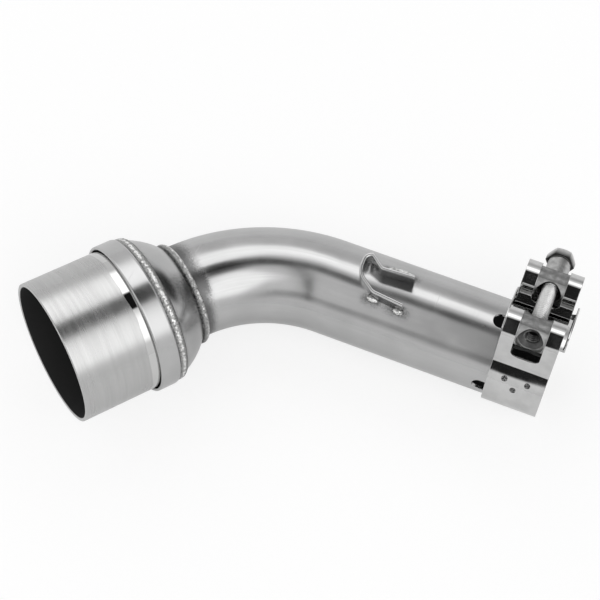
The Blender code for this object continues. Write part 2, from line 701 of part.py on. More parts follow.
def build():
    for obj in list(bpy.data.objects):
        bpy.data.objects.remove(obj, do_unlink=True)

    bright = steel("polished_stainless", 0.62, 0.16)
    brushed = steel("brushed_stainless", 0.6, 0.28)
    bead = steel("weld_metal", 0.4, 0.4)
    band = steel("band_stainless", 0.66, 0.12)
    plated = steel("zinc_plate", 0.52, 0.36)

    laid = empty("mid_pipe")
    inlet = empty("inlet_axis", laid)
    outlet = empty("outlet_axis", laid)
    outlet.location = bend_frame(BEND_RADIUS * BEND_ANGLE)[0]
    outlet.rotation_euler = (0, 0, math.pi + BEND_ANGLE)
    saddle = empty("bracket_saddle", inlet)
    saddle.rotation_euler = (-BRACKET_TURN, 0, 0)
    clamp = empty("clamp_frame", inlet)
    clamp.location = (INLET_LENGTH - CLAMP_SETBACK, 0, 0)
    clamp.rotation_euler = (-CLAMP_TURN, 0, 0)

    build_pipe(inlet, bright)
    build_dome(outlet, bright)
    build_pipe_weld(outlet, bead)
    build_collar_weld(outlet, bead)
    build_collar(outlet, bright)
    build_sleeve(outlet, brushed)
    build_bracket(saddle, bright)
    build_bracket_welds(saddle, bead)
    build_band(clamp, band)
    build_bridge(clamp, band)
    build_trunnion("tapped_trunnion", -1, BOLT_RADIUS + BORE_CLEARANCE, clamp, plated)
    build_trunnion("plain_trunnion", 1, BOLT_RADIUS + PLAIN_CLEARANCE, clamp, plated)
    build_bush(clamp, plated)
    build_bolt(clamp, plated)
    lay_down(laid)


build()
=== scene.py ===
import json
import math
from bisect import bisect_right

import bmesh
import bpy
import numpy as np
from mathutils import Matrix, Vector
from mathutils.geometry import delaunay_2d_cdt

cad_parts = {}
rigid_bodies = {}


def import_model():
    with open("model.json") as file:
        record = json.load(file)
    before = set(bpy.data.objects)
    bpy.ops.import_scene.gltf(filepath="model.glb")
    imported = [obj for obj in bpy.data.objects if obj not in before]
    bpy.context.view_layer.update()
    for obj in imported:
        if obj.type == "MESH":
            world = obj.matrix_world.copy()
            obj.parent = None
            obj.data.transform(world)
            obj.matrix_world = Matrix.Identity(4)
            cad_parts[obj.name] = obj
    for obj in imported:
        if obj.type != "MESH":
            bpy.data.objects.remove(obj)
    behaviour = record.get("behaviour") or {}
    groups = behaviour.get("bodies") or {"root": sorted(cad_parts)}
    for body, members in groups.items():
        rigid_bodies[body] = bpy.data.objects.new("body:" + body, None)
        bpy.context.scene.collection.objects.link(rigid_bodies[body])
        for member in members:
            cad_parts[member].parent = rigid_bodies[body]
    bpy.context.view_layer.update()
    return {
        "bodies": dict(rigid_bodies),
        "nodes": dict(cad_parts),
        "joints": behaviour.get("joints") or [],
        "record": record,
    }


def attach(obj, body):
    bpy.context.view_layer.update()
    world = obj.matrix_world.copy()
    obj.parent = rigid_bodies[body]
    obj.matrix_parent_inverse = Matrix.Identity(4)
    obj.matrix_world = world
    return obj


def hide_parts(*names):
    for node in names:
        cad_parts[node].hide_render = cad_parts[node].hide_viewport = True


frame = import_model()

mm = 0.001

# Where the pipe lies: sizes below are in millimetres, in this frame and the ones made from it
placing = {
    "origin": (7.268, 22.676, 19.103),     # on the pipe's axis, where the bend starts
    "along": (0.999695, 0.0, 0.024693),    # towards the clamped end
    "up": (-0.023606, 0.293428, 0.95569),  # square to the plane of the bend
}


def axesFrom(origin, along, up):
    a, u = Vector(along).normalized(), Vector(up).normalized()
    axes = Matrix((a, u.cross(a), u)).transposed().to_4x4()
    axes.translation = Vector(origin)
    return Matrix.Scale(mm, 4) @ axes


def shifted(base, place=(0, 0, 0), turn=0.0, axis="X"):
    return base @ Matrix.Translation(place) @ Matrix.Rotation(math.radians(turn), 4, axis)


pipeAxes = axesFrom(placing["origin"], placing["along"], placing["up"])


# Meshes

def linked(name, data):
    obj = bpy.data.objects.new(name, data)
    bpy.context.scene.collection.objects.link(obj)
    return obj


def facesOut(mesh):
    bm = bmesh.new()
    bm.from_mesh(mesh)
    bmesh.ops.recalc_face_normals(bm, faces=bm.faces)
    bm.to_mesh(mesh)
    bm.free()


def putMark(mesh, label, values):
    # What the finishes read at each vertex: numbers or vectors
    if isinstance(values[0], Vector):
        mark = mesh.attributes.new(label, "FLOAT_VECTOR", "POINT")
        mark.data.foreach_set("vector", [c for value in values for c in value])
    else:
        mesh.attributes.new(label, "FLOAT", "POINT").data.foreach_set("value", values)


def meshPiece(name, points, faces, place, material, normals=None, sharp=32, marks=None):
    # One vertex for each place, so that seams close
    index, kept, where = {}, [], []
    for i, point in enumerate(points):
        key = tuple(round(c, 4) for c in point)
        if key not in index:
            index[key] = len(kept)
            kept.append(i)
        where.append(index[key])
    turned = [list(dict.fromkeys(where[i] for i in face)) for face in faces]
    mesh = bpy.data.meshes.new(name)
    mesh.from_pydata([place @ Vector(points[i]) for i in kept], [],
                     [corners for corners in turned if len(corners) > 2])
    mesh.materials.append(material)
    facesOut(mesh)
    mesh.shade_smooth()
    for label, values in (marks or {}).items():
        putMark(mesh, label, [values[i] for i in kept])
    if normals:
        spin = place.to_3x3()
        facing = [(spin @ normals[i]).normalized() for i in kept]
        mesh.normals_split_custom_set_from_vertices(facing)
    else:
        mesh.set_sharp_from_angle(angle=math.radians(sharp))
    return linked(name, mesh)


def settled(obj, name=None):
    # Applies the modifiers and leaves a plain mesh
    graph = bpy.context.evaluated_depsgraph_get()
    mesh = bpy.data.meshes.new_from_object(obj.evaluated_get(graph))
    mesh.name = name or obj.name
    obj.modifiers.clear()
    obj.data = mesh
    return obj


def weighted(obj):
    soft = obj.modifiers.new("normals", "WEIGHTED_NORMAL")
    soft.keep_sharp = True
    soft.weight = 70
    return settled(obj)


def rounded(obj, width, steps=2, angle=35):
    edge = obj.modifiers.new("edges", "BEVEL")
    edge.width = width * mm
    edge.segments = steps
    edge.limit_method = "ANGLE"
    edge.angle_limit = math.radians(angle)
    edge.use_clamp_overlap = True
    edge.harden_normals = False
    return settled(obj)


def resharpened(obj, angle):
    obj.data.shade_smooth()
    obj.data.set_sharp_from_angle(angle=math.radians(angle))
    return obj


def marked(obj, name, share):
    # A mark on a finished mesh: heat tint and painted shade on the polished pieces, "fresh" for
    # bright new plate, and painted shade in recesses and under things on the zinc
    putMark(obj.data, name, [share(v.co) if callable(share) else share for v in obj.data.vertices])
    return obj


def quads(rows, count, closedRows, closedCount):
    # Four sided faces between rows of points
    faces = []
    for row in range(rows if closedRows else rows - 1):
        here, after = row * count, (row + 1) % rows * count
        for i in range(count if closedCount else count - 1):
            j = (i + 1) % count
            faces.append((here + i, here + j, after + j, after + i))
    return faces


def loft(name, rings, place, material, sharp=32):
    # A skin over closed rings of points, with flat ends
    count = len(rings[0])
    last = (len(rings) - 1) * count
    faces = quads(len(rings), count, False, True)
    faces += [tuple(range(count)), tuple(range(last, last + count))]
    return meshPiece(name, [p for ring in rings for p in ring], faces, place, material, sharp=sharp)


def lathe(name, profile, sides, place, material, closed=True, marks=None):
    # Spins (along, radius) points round the local X axis; an open profile ends on the axis
    points = []
    for i in range(sides):
        a = math.tau * i / sides
        points += [Vector((x, r * math.cos(a), r * math.sin(a))) for x, r in profile]
    marks = {label: [test(p.x, math.hypot(p.y, p.z), math.degrees(math.atan2(p.z, p.y)))
                     for p in points] for label, test in (marks or {}).items()}
    return meshPiece(name, points, quads(sides, len(profile), True, closed), place, material,
                     marks=marks)


def roundCorner(centre, radius, start, end, steps):
    # Points of (x, y) on an arc between two angles in degrees
    found = []
    for i in range(steps + 1):
        a = math.radians(start + (end - start) * i / steps)
        found.append((centre[0] + radius * math.cos(a), centre[1] + radius * math.sin(a)))
    return found


def isWithin(spot, loop):
    crossings = 0
    for a, b in zip(loop, loop[1:] + loop[:1]):
        if (a[1] > spot.y) != (b[1] > spot.y):
            crossings += spot.x < a[0] + (b[0] - a[0]) * (spot.y - a[1]) / (b[1] - a[1])
    return crossings % 2 == 1


def flatPattern(loops, grid, gap):
    # Triangles inside the first loop and outside the others, with grid points kept off the edges
    spots = np.array(grid)
    near = np.full(len(spots), np.inf)
    for loop in loops:
        rim = np.array(loop)
        for start in range(0, len(rim), 64):
            part = rim[start:start + 64]
            reach = np.linalg.norm(spots[:, None] - part[None], axis=2).min(axis=1)
            near = np.minimum(near, reach)
    points, edges = [], []
    for loop in loops:
        first = len(points)
        points += [Vector(p) for p in loop]
        edges += [(first + i, first + (i + 1) % len(loop)) for i in range(len(loop))]
    points += [Vector(p) for p in spots[near > gap]]
    found = delaunay_2d_cdt(points, edges, [], 2, 1e-6)
    flat = found[0]
    faces = [face for face in found[2]
             if not any(isWithin(sum((flat[i] for i in face), Vector((0, 0))) / len(face), hole)
                        for hole in loops[1:])]
    used = sorted({i for face in faces for i in face})
    order = {old: new for new, old in enumerate(used)}
    flat = [Vector(flat[i]) for i in used]
    faces = [[order[i] for i in face] for face in faces]
    for face in faces:
        a, b, c = (flat[i] for i in face[:3])
        if (b - a).cross(c - a) < 0:
            face.reverse()
    return flat, faces


def sheetPiece(name, loops, grid, gap, surface, thickness, edge, place, material, seam=None,
               marks=None):
    # A sheet of even thickness over surface(u, v), with its cut edges rounded
    flat, faces = flatPattern(loops, grid, gap)
    sides = {(a, b) for face in faces for a, b in zip(face, face[1:] + face[:1])}

    def onSeam(a, b):
        return seam and any(abs(flat[a].y - s) < 1e-4 and abs(flat[b].y - s) < 1e-4 for s in seam)

    border = [(a, b) for a, b in sides if (b, a) not in sides and not onSeam(a, b)]
    border.sort()
    outward = {}
    for a, b in border:
        run = flat[b] - flat[a]
        away = Vector((run.y, -run.x)).normalized()
        for i in (a, b):
            outward.setdefault(i, []).append(away)
    half = thickness / 2
    levels = []
    steps = 3
    for quarter in (0, 1):
        for i in range(steps + 1):
            a = math.radians(90 * (quarter + i / steps))
            height = (half - edge) * (1 if quarter == 0 else -1) + edge * math.cos(a)
            levels.append((edge * (1 - math.sin(a)), height, a))
    points, normals, layers, spots = [], [], [{} for _ in levels], []

    def addPoint(i, inset, height, a):
        here = flat[i]
        away = None
        if i in outward:
            mean = sum(outward[i], Vector((0, 0))) / len(outward[i])
            away = mean / max(mean.length_squared, 0.3)
            here = here - away * inset
        point, normal = surface(here.x, here.y)
        facing = normal * math.cos(a)
        if away is not None and math.sin(a) > 1e-6:
            step = away.normalized() * 0.02
            ahead = surface(here.x + step.x, here.y + step.y)[0]
            behind = surface(here.x - step.x, here.y - step.y)[0]
            facing += (ahead - behind).normalized() * math.sin(a)
        points.append(point + normal * height)
        normals.append(facing)
        spots.append((here.x, here.y, height))
        return len(points) - 1

    for i in range(len(flat)):
        layers[0][i] = addPoint(i, edge, half, 0.0)
        layers[-1][i] = addPoint(i, edge, -half, math.pi)
    for i in outward:
        for level, (inset, height, a) in list(enumerate(levels))[1:-1]:
            layers[level][i] = addPoint(i, inset, height, a)
    solid = [[layers[0][i] for i in face] for face in faces]
    solid += [[layers[-1][i] for i in reversed(face)] for face in faces]
    for a, b in border:
        for upper, lower in zip(layers, layers[1:]):
            solid.append((upper[a], lower[a], lower[b], upper[b]))
    marks = {label: [test(*spot) for spot in spots] for label, test in (marks or {}).items()}
    return meshPiece(name, points, solid, place, material, normals=normals, marks=marks)


# Node trees

class Wire:
    # One output in a node tree, and plain arithmetic on it
    def __init__(self, socket):
        self.socket, self.tree = socket, socket.id_data

    def __add__(self, other):
        return sums("ADD", self, other)

    def __sub__(self, other):
        return sums("SUBTRACT", self, other)

    def __rsub__(self, other):
        return sums("SUBTRACT", other, self)

    def __mul__(self, other):
        return sums("MULTIPLY", self, other)

    def __truediv__(self, other):
        return sums("DIVIDE", self, other)

    def __pow__(self, other):
        return sums("POWER", self, other)

    def __abs__(self):
        return sums("ABSOLUTE", self)

    __radd__, __rmul__ = __add__, __mul__


def plug(socket, value):
    # Links a wire, or sets a plain value
    if isinstance(value, Wire):
        value.tree.links.new(value.socket, socket)
    else:
        socket.default_value = value


def node(tree, kind, inputs=None, **settings):
    made = tree.nodes.new(kind)
    for key, value in settings.items():
        setattr(made, key, value)
    for key, value in (inputs or {}).items():
        plug(made.inputs[key], value)
    return made


def wires(made):
    return {socket.name: Wire(socket) for socket in made.outputs if socket.name}


def wire(tree, kind, inputs=None, output=0, **settings):
    return Wire(node(tree, kind, inputs, **settings).outputs[output])


def sums(operation, *values):
    tree = next(value.tree for value in values if isinstance(value, Wire))
    return wire(tree, "ShaderNodeMath", dict(enumerate(values)), operation=operation)


def vectors(operation, *values):
    keys = (0, "Scale") if operation == "SCALE" else range(len(values))
    return wire(values[0].tree, "ShaderNodeVectorMath", dict(zip(keys, values)),
                "Value" if operation == "DOT_PRODUCT" else 0, operation=operation)


def noise(vector, scale, detail, roughness=0.5):
    return wire(vector.tree, "ShaderNodeTexNoise", {
        "Vector": vector, "Scale": scale, "Detail": detail, "Roughness": roughness},
        noise_dimensions="3D")


def mapped(vector, **values):
    return wire(vector.tree, "ShaderNodeMapping", {"Vector": vector, **values})


def combined(tree, **axes):
    return wire(tree, "ShaderNodeCombineXYZ", axes)


def seeded(vector, **axes):
    return vectors("ADD", vector, combined(vector.tree, **axes))


def ranged(value, low, high, start=0.0, end=1.0, **settings):
    return wire(value.tree, "ShaderNodeMapRange", {
        "Value": value, "From Min": low, "From Max": high, "To Min": start, "To Max": end},
        **settings)


def mixed(share, low, high):
    return ranged(share, 0.0, 1.0, low, high)


def stepped(value, low, high):
    # 0 below low, 1 above high, soft between
    return ranged(value, low, high, interpolation_type="SMOOTHSTEP")


def newTree(name, kind, inputs, outputs):
    # A node group with inputs of (label, kind, value) and outputs of (label, kind)
    tree = bpy.data.node_groups.new(name, kind)
    for label, sort, value in inputs:
        socket = tree.interface.new_socket(label, in_out="INPUT", socket_type="NodeSocket" + sort)
        if value is not None:
            socket.default_value = value
    for label, sort in outputs:
        tree.interface.new_socket(label, in_out="OUTPUT", socket_type="NodeSocket" + sort)
    return tree, wires(tree.nodes.new("NodeGroupInput")), tree.nodes.new("NodeGroupOutput").inputs


# Geometry Nodes

def shapeTree(name, floats, others):
    inputs = [("Geometry", "Geometry", None)] + [(label, "Float", value) for label, value in floats]
    return newTree(name, "GeometryNodeTree", inputs + others + [("Finish", "Material", None)],
                   [("Geometry", "Geometry")])


def placed(geometry, position):
    return wire(geometry.tree, "GeometryNodeSetPosition", {"Geometry": geometry,
                                                           "Position": position})


def merged(geometry):
    return wire(geometry.tree, "GeometryNodeMergeByDistance", {"Geometry": geometry,
                                                               "Distance": 0.000002})


def stored(geometry, name, value):
    return wire(geometry.tree, "GeometryNodeStoreNamedAttribute", {
        "Geometry": geometry, "Name": name, "Value": value}, data_type="FLOAT", domain="POINT")


def crownOf(tree):
    return wire(tree, "GeometryNodeInputNamedAttribute", {"Name": "crown"},
                data_type="FLOAT_VECTOR")


def unitGrid(tree, columns, rows):
    # A grid to wrap round, with each point's share from 0 to 1 along X and Y
    grid = wire(tree, "GeometryNodeMeshGrid", {"Size X": 1.0, "Size Y": 1.0, "Vertices X": columns,
                                               "Vertices Y": rows})
    spot = wires(node(tree, "ShaderNodeSeparateXYZ", {
        "Vector": wire(tree, "GeometryNodeInputPosition")}))
    return grid, spot["X"] + 0.5, spot["Y"] + 0.5


def finished(geometry, finish, made):
    # Smooth, real, and in its material
    for kind, inputs in (("GeometryNodeSetShadeSmooth", {}), ("GeometryNodeRealizeInstances", {}),
                         ("GeometryNodeSetMaterial", {"Material": finish})):
        geometry = wire(geometry.tree, kind, {"Geometry": geometry, **inputs})
    plug(made[0], geometry)
    return geometry.tree


def grown(name, carrier, tree, values, material, solid=True):
    # Runs a tree on a carrier object and keeps the plain mesh it makes
    grow = carrier.modifiers.new("grow", "NODES")
    grow.node_group = tree
    values = {**values, "Finish": material}
    for item in tree.interface.items_tree:
        if item.in_out == "INPUT" and item.name in values:
            grow[item.identifier] = values[item.name]
    carrier.data.update()
    settled(carrier, name)
    carrier.name = name
    if not carrier.data.materials:
        carrier.data.materials.append(material)
    if solid:
        facesOut(carrier.data)
    return carrier


beadShape = {"driftScale": 260.0, "driftShare": 1.6, "swell": 0.55, "grainScale": 2600.0}


def beadTree():
    # Weld bead along a line: round section, ripples that bow forward at the crown, rough grain
    b = beadShape
    tree, size, made = shapeTree("weldBead", [
        ("Width", 0.0022), ("Height", 0.0018), ("Step", 0.0002), ("Pitch", 0.001), ("Ripple", 0.12),
        ("Bow", 0.5), ("Wander", 0.1), ("Grain", 0.05), ("End", 0.0), ("Seed", 0.0)],
        [("Sides", "Int", 14)])
    line = wire(tree, "GeometryNodeMeshToCurve", {"Mesh": size["Geometry"]})
    even = wire(tree, "GeometryNodeResampleCurve", {"Curve": line, "Length": size["Step"]},
                mode="LENGTH")
    along = wires(node(tree, "GeometryNodeSplineParameter"))
    position, crown = wire(tree, "GeometryNodeInputPosition"), crownOf(tree)
    keepPlace = node(tree, "GeometryNodeCaptureAttribute", {"Geometry": even})
    captured = {"centre": ("VECTOR", position), "run": ("FLOAT", along["Length"]),
                "share": ("FLOAT", along["Factor"])}
    for label, (kind, value) in captured.items():
        keepPlace.capture_items.new(kind, label)
    for label, (kind, value) in captured.items():
        plug(keepPlace.inputs[label], value)
    kept = wires(keepPlace)
    centre, run, share = (kept[label] for label in captured)
    ring = wire(tree, "GeometryNodeCurvePrimitiveCircle", {"Resolution": size["Sides"],
                                                           "Radius": size["Width"] * 0.5})
    tube = wire(tree, "GeometryNodeCurveToMesh", {"Curve": kept["Geometry"], "Profile Curve": ring,
                                                  "Fill Caps": True})
    away = vectors("SUBTRACT", position, centre)
    facing = vectors("DOT_PRODUCT", vectors("NORMALIZE", away), crown)
    drift = noise(seeded(centre, X=size["Seed"]), b["driftScale"], 1.0)
    phase = run / size["Pitch"] + (1.0 - facing) * size["Bow"] + drift * b["driftShare"]
    saw = sums("FRACT", phase)
    grain = (noise(position, b["grainScale"], 3.0, 0.7) - 0.5) * size["Grain"]
    wander = (drift - 0.5) * size["Wander"]
    # Both ends close down where End is more than nothing
    tip = sums("MAXIMUM", share * (1.0 - share) * 4.0, 0.0001) ** size["End"]
    grow = (1.0 + saw ** b["swell"] * size["Ripple"] + (grain + wander)) * tip
    flatten = size["Height"] / size["Width"] - 1.0
    lift = vectors("SCALE", crown, flatten * vectors("DOT_PRODUCT", away, crown))
    moved = vectors("ADD", centre, vectors("SCALE", vectors("ADD", away, lift), grow))
    bead = stored(stored(placed(tube, moved), "beadCrown", facing), "beadRipple", saw)
    return finished(bead, size["Finish"], made)


def beadLine(name, points, crowns, closed, place):
    # Carrier of one bead: a line of points, each with the way its crown faces
    mesh = bpy.data.meshes.new(name)
    edges = [(i, i + 1) for i in range(len(points) - 1)]
    if closed:
        edges.append((len(points) - 1, 0))
    mesh.from_pydata([place @ Vector(p) for p in points], edges, [])
    spin = place.to_3x3()
    putMark(mesh, "crown", [(spin @ Vector(way)).normalized() for way in crowns])
    return linked(name, mesh)


threadShape = {"crest": 1.25, "root": 0.12, "end": 0.00001}


def threadTree():
    # Threaded rod along X: a grid wrapped round the axis, closed at both ends
    tree, size, made = shapeTree("threadedRod", [
        ("Length", 0.04), ("Radius", 0.003), ("Depth", 0.0005), ("Pitch", 0.001), ("Point", 0.0007),
        ("Plain", 0.0)], [("Rings", "Int", 400), ("Sides", "Int", 49)])
    sheet, share, turn = unitGrid(tree, size["Rings"], size["Sides"])
    along = share * size["Length"]
    wave = sums("FRACT", along / size["Pitch"] - turn)
    # Flat crests and roots
    ridge = sums("MINIMUM", abs(wave * 2.0 - 1.0) * threadShape["crest"], 1.0)
    ridge = sums("MAXIMUM", ridge - threadShape["root"], 0.0)
    radius = size["Radius"] - ridge * size["Depth"] * sums("GREATER_THAN", along, size["Plain"])
    # The point's chamfer, then both ends go to the axis
    radius = sums("MINIMUM", radius, size["Radius"] - size["Point"] + (size["Length"] - along))
    radius = radius * (sums("GREATER_THAN", share, threadShape["end"])
                       * sums("LESS_THAN", share, 1 - threadShape["end"]))
    angle = turn * math.tau
    rod = placed(sheet, combined(tree, X=along, Y=radius * sums("COSINE", angle),
                                 Z=radius * sums("SINE", angle)))
    return finished(merged(rod), size["Finish"], made)


def metreAxes(place):
    # A frame in metres, for what a tree has already made in metres
    return place @ Matrix.Scale(1 / mm, 4)


# Finishes

def tinted(share, low, high):
    # From one colour to the other
    made = node(share.tree, "ShaderNodeMix", data_type="RGBA")
    sockets = {socket.identifier: socket for socket in made.inputs}
    for key, value in (("Factor_Float", share), ("A_Color", low), ("B_Color", high)):
        plug(sockets[key], (*value, 1.0) if isinstance(value, tuple) else value)
    return Wire(next(s for s in made.outputs if s.identifier == "Result_Color"))


def brushGroup():
    # Fine lines that run round the vector's X axis: close hairlines, and broader soft bands
    tree, size, made = newTree("brushLines", "ShaderNodeTree", [
        ("Vector", "Vector", None), ("Lines", "Float", 9000.0), ("Stretch", "Float", 60.0),
        ("Seed", "Float", 0.0)], [("Hair", "Float"), ("Band", "Float")])
    place = seeded(size["Vector"], X=size["Seed"])
    for label, share in (("Hair", 1.0), ("Band", 0.12)):
        scale = combined(tree, X=size["Lines"] * share, Y=size["Stretch"], Z=size["Stretch"])
        lines = noise(vectors("MULTIPLY", place, scale), 1.0, 2.0, 0.6)
        plug(made[label], stepped(lines, 0.3, 0.7))
    return tree


def hazeGroup():
    # Polished metal is never quite even: soft clouds, a fine grain, and a few thin scratches
    tree, size, made = newTree("polishHaze", "ShaderNodeTree", [
        ("Vector", "Vector", None), ("Cloud", "Float", 90.0), ("Fine", "Float", 2400.0),
        ("Seed", "Float", 0.0)], [("Clouds", "Float"), ("Grain", "Float"), ("Scratches", "Float")])
    place = seeded(size["Vector"], Y=size["Seed"])
    lean = mapped(place, Rotation=(0.4, 0.5, 0.9), Scale=(1500.0, 40.0, 40.0))
    plug(made["Clouds"], stepped(noise(place, size["Cloud"], 3.0), 0.3, 0.7))
    plug(made["Grain"], stepped(noise(place, size["Fine"], 2.0), 0.3, 0.7))
    plug(made["Scratches"], stepped(noise(lean, 1.0, 1.0), 0.72, 0.78))
    return tree


brushLines, polishHaze = brushGroup(), hazeGroup()


def useGroup(group, values, **settings):
    tree = next(value.tree for value in values.values() if isinstance(value, Wire))
    return wires(node(tree, "ShaderNodeGroup", values, node_tree=group, **settings))


def textures(look, vector, run=None):
    # The haze and the brush lines of one look
    return (useGroup(polishHaze, {"Vector": vector, **look["haze"]}),
            useGroup(brushLines, {"Vector": run or vector, **look["lines"]}))


def objectPlace(tree, frame=None):
    # Object coordinates, turned into a millimetre frame's own axes where one is given
    place = wire(tree, "ShaderNodeTexCoord", output="Object")
    if not frame:
        return place
    back = frame.inverted()
    return mapped(place, Location=tuple(back.translation * mm),
                  Rotation=tuple(back.to_3x3().normalized().to_euler()))


def attribute(tree, name, output="Fac"):
    return wire(tree, "ShaderNodeAttribute", output=output, attribute_name=name,
                attribute_type="GEOMETRY")


def newFinish(name, colour, roughness, metallic=1.0):
    material = bpy.data.materials.new(name)
    material.use_nodes = True
    shader = material.node_tree.nodes["Principled BSDF"]
    shader.inputs["Base Color"].default_value = (*colour, 1.0)
    shader.inputs["Metallic"].default_value = metallic
    shader.inputs["Roughness"].default_value = roughness
    return material, material.node_tree, shader


def dressed(shader, look, joins, height, wave=None):
    # Joins a finish's wires to its shader, with its bump over a slower wave where one is given
    bump = {"Height": height, "Strength": look["bump"], "Distance": look["depth"]}
    if wave:
        bump["Normal"] = wire(height.tree, "ShaderNodeBump", {"Height": wave[0], "Strength": 1.0,
                                                              "Distance": wave[1]})
    for label, value in {**joins, "Normal": wire(height.tree, "ShaderNodeBump", bump)}.items():
        plug(shader.inputs[label], value)


insideLook = {"insideShade": (0.012, 0.012, 0.012), "roughness": 0.7}


def hollow(inside, colour, rough):
    # Dull inside the tubes, and darkened there as painted shade
    return {"Base Color": tinted(inside, colour, insideLook["insideShade"]),
            "Roughness": mixed(inside, rough, insideLook["roughness"]),
            "Metallic": mixed(inside, 1.0, 0.0)}


polish = {
    "haze": {"Cloud": 70.0, "Fine": 2600.0},
    "lines": {"Lines": 2600.0, "Stretch": 30.0, "Seed": 0.31},
    "darker": 0.95, "lighter": 1.05, "lineTone": 0.85, "lineShare": 0.25,
    # The dark colour below serves heat tint and painted shade alike
    "scale": (0.09, 0.09, 0.09), "heatShadeShare": 0.85, "heatShadeRagged": 0.35, "heatShadeSpan": (0.1, 0.95),
    "lineDull": 0.035, "scratchDull": 0.07, "heatShadeDull": 0.12,
    "grain": 0.4, "bump": 0.35, "depth": 0.0000035, "waves": (55.0, 55.0, 26.0),
}


def polishedFinish(name, tone, smooth, dull, waves):
    # Tube, dome, collar and bracket: soft polish lines along the pipe, dull inside with painted
    # shade
    p = polish
    material, tree, shader = newFinish(name, (tone,) * 3, smooth)
    # Round the tube the lines are close, along it they are long
    run = attribute(tree, "pipeRun", "Vector")
    squeeze = p["lines"]["Lines"] / p["lines"]["Stretch"]
    haze, lines = textures(p, objectPlace(tree), mapped(run, Scale=(1.0, squeeze, 1.0)))
    heatAndShade = attribute(tree, "heatTintAndShade")
    colour = tinted(haze["Clouds"], (tone * p["darker"],) * 3, (tone * p["lighter"],) * 3)
    colour = tinted(lines["Band"] * p["lineShare"], colour, (tone * p["lineTone"],) * 3)
    # Heat tint near the welds, and painted shade: round the bracket's welds, on the bracket's
    # walls, and as a painted dark reflection on the dome
    scale = stepped(heatAndShade + (haze["Grain"] - 0.5) * p["heatShadeRagged"], *p["heatShadeSpan"])
    colour = tinted(scale * p["heatShadeShare"], colour, p["scale"])
    rough = (mixed(haze["Clouds"], smooth, dull) + lines["Band"] * p["lineDull"]
             + haze["Scratches"] * p["scratchDull"] + heatAndShade * p["heatShadeDull"])
    # The tube's skin is never quite true: long low waves
    slow = noise(mapped(run, Scale=p["waves"]), 1.0, 1.5)
    dressed(shader, p, hollow(attribute(tree, "inside"), colour, rough),
            lines["Hair"] + haze["Grain"] * p["grain"], (slow, waves))
    return material


brush = {
    "haze": {"Cloud": 60.0, "Fine": 3000.0, "Seed": 0.4},
    "lines": {"Lines": 5200.0, "Stretch": 26.0, "Seed": 0.07},
    "base": (0.62, 0.62, 0.615), "dark": (0.515, 0.515, 0.512), "light": (0.55, 0.55, 0.547),
    "hair": (0.44, 0.44, 0.438), "hairShare": 0.3, "rough": (0.26, 0.22), "cloudDull": 0.04,
    "mirror": (0.64, 0.64, 0.635), "mirrorRough": 0.05, "mirrorEdge": 0.00012, "ragged": 0.0011,
    "bump": 0.5, "depth": 0.000004,
}


def brushedFinish():
    # Sleeve: hairlines round its axis, a mirror strip at the collar, dull inside with painted shade
    b = brush
    material, tree, shader = newFinish("brushedStainless", b["base"], 0.3)
    here = objectPlace(tree, outletAxes)
    haze, lines = textures(b, here)
    along = wires(node(tree, "ShaderNodeSeparateXYZ", {"Vector": here}))["X"]
    mirror = 1.0 - stepped(along + (haze["Clouds"] - 0.5) * b["ragged"],
                           mirrorEnd - b["mirrorEdge"], mirrorEnd + b["mirrorEdge"])
    colour = tinted(lines["Band"], b["dark"], b["light"])
    colour = tinted(lines["Hair"] * b["hairShare"], colour, b["hair"])
    colour = tinted(mirror, colour, b["mirror"])
    rough = mixed(lines["Band"], *b["rough"]) + haze["Clouds"] * b["cloudDull"]
    rough = mixed(mirror, rough, b["mirrorRough"])
    dressed(shader, b, hollow(attribute(tree, "inside"), colour, rough),
            lines["Hair"] * (1.0 - mirror))
    return material


weldLook = {
    "haze": {"Cloud": 900.0, "Fine": 3000.0, "Seed": 0.9}, "base": (0.45, 0.45, 0.44),
    # Near black for painted shade along the toes and in the ripple grooves, near white for the
    # painted highlight along the crown
    "toe": (0.035, 0.035, 0.035), "flank": (0.45, 0.45, 0.445), "flankSpan": (0.1, 0.75),
    "patch": (0.12, 0.12, 0.12), "patchShare": 0.6, "grooveShade": (0.03, 0.03, 0.03),
    "grooveShare": 0.65, "grooveSpan": (0.05, 0.4), "speck": (0.75, 0.75, 0.74), "speckShare": 0.45,
    "speckSpan": (0.5, 0.95), "paintedHighlight": (0.93, 0.93, 0.92), "paintedHighlightSpan": (0.86, 1.0),
    "uneven": 0.3, "rough": (0.34, 0.13), "grain": 0.6, "bump": 1.0, "depth": 0.00012,
}


def weldFinish():
    # A painted highlight along the crown, greyer flanks in patches, painted shade along both toes
    # and in the ripple grooves
    w = weldLook
    material, tree, shader = newFinish("weldMetal", w["base"], 0.35)
    haze = useGroup(polishHaze, {"Vector": objectPlace(tree), **w["haze"]})
    crown = attribute(tree, "beadCrown")
    grooveShade = 1.0 - stepped(attribute(tree, "beadRipple"), *w["grooveSpan"])
    paintedHighlight = stepped(crown + (haze["Clouds"] - 0.5) * w["uneven"], *w["paintedHighlightSpan"])
    colour = tinted(stepped(crown, *w["flankSpan"]), w["toe"], w["flank"])
    colour = tinted(haze["Clouds"] * w["patchShare"], colour, w["patch"])
    colour = tinted(grooveShade * w["grooveShare"], colour, w["grooveShade"])
    colour = tinted(stepped(haze["Grain"], *w["speckSpan"]) * w["speckShare"], colour, w["speck"])
    dressed(shader, w, {"Base Color": tinted(paintedHighlight, colour, w["paintedHighlight"]),
                        "Roughness": mixed(paintedHighlight, *w["rough"])},
            haze["Clouds"] + haze["Grain"] * w["grain"])
    return material


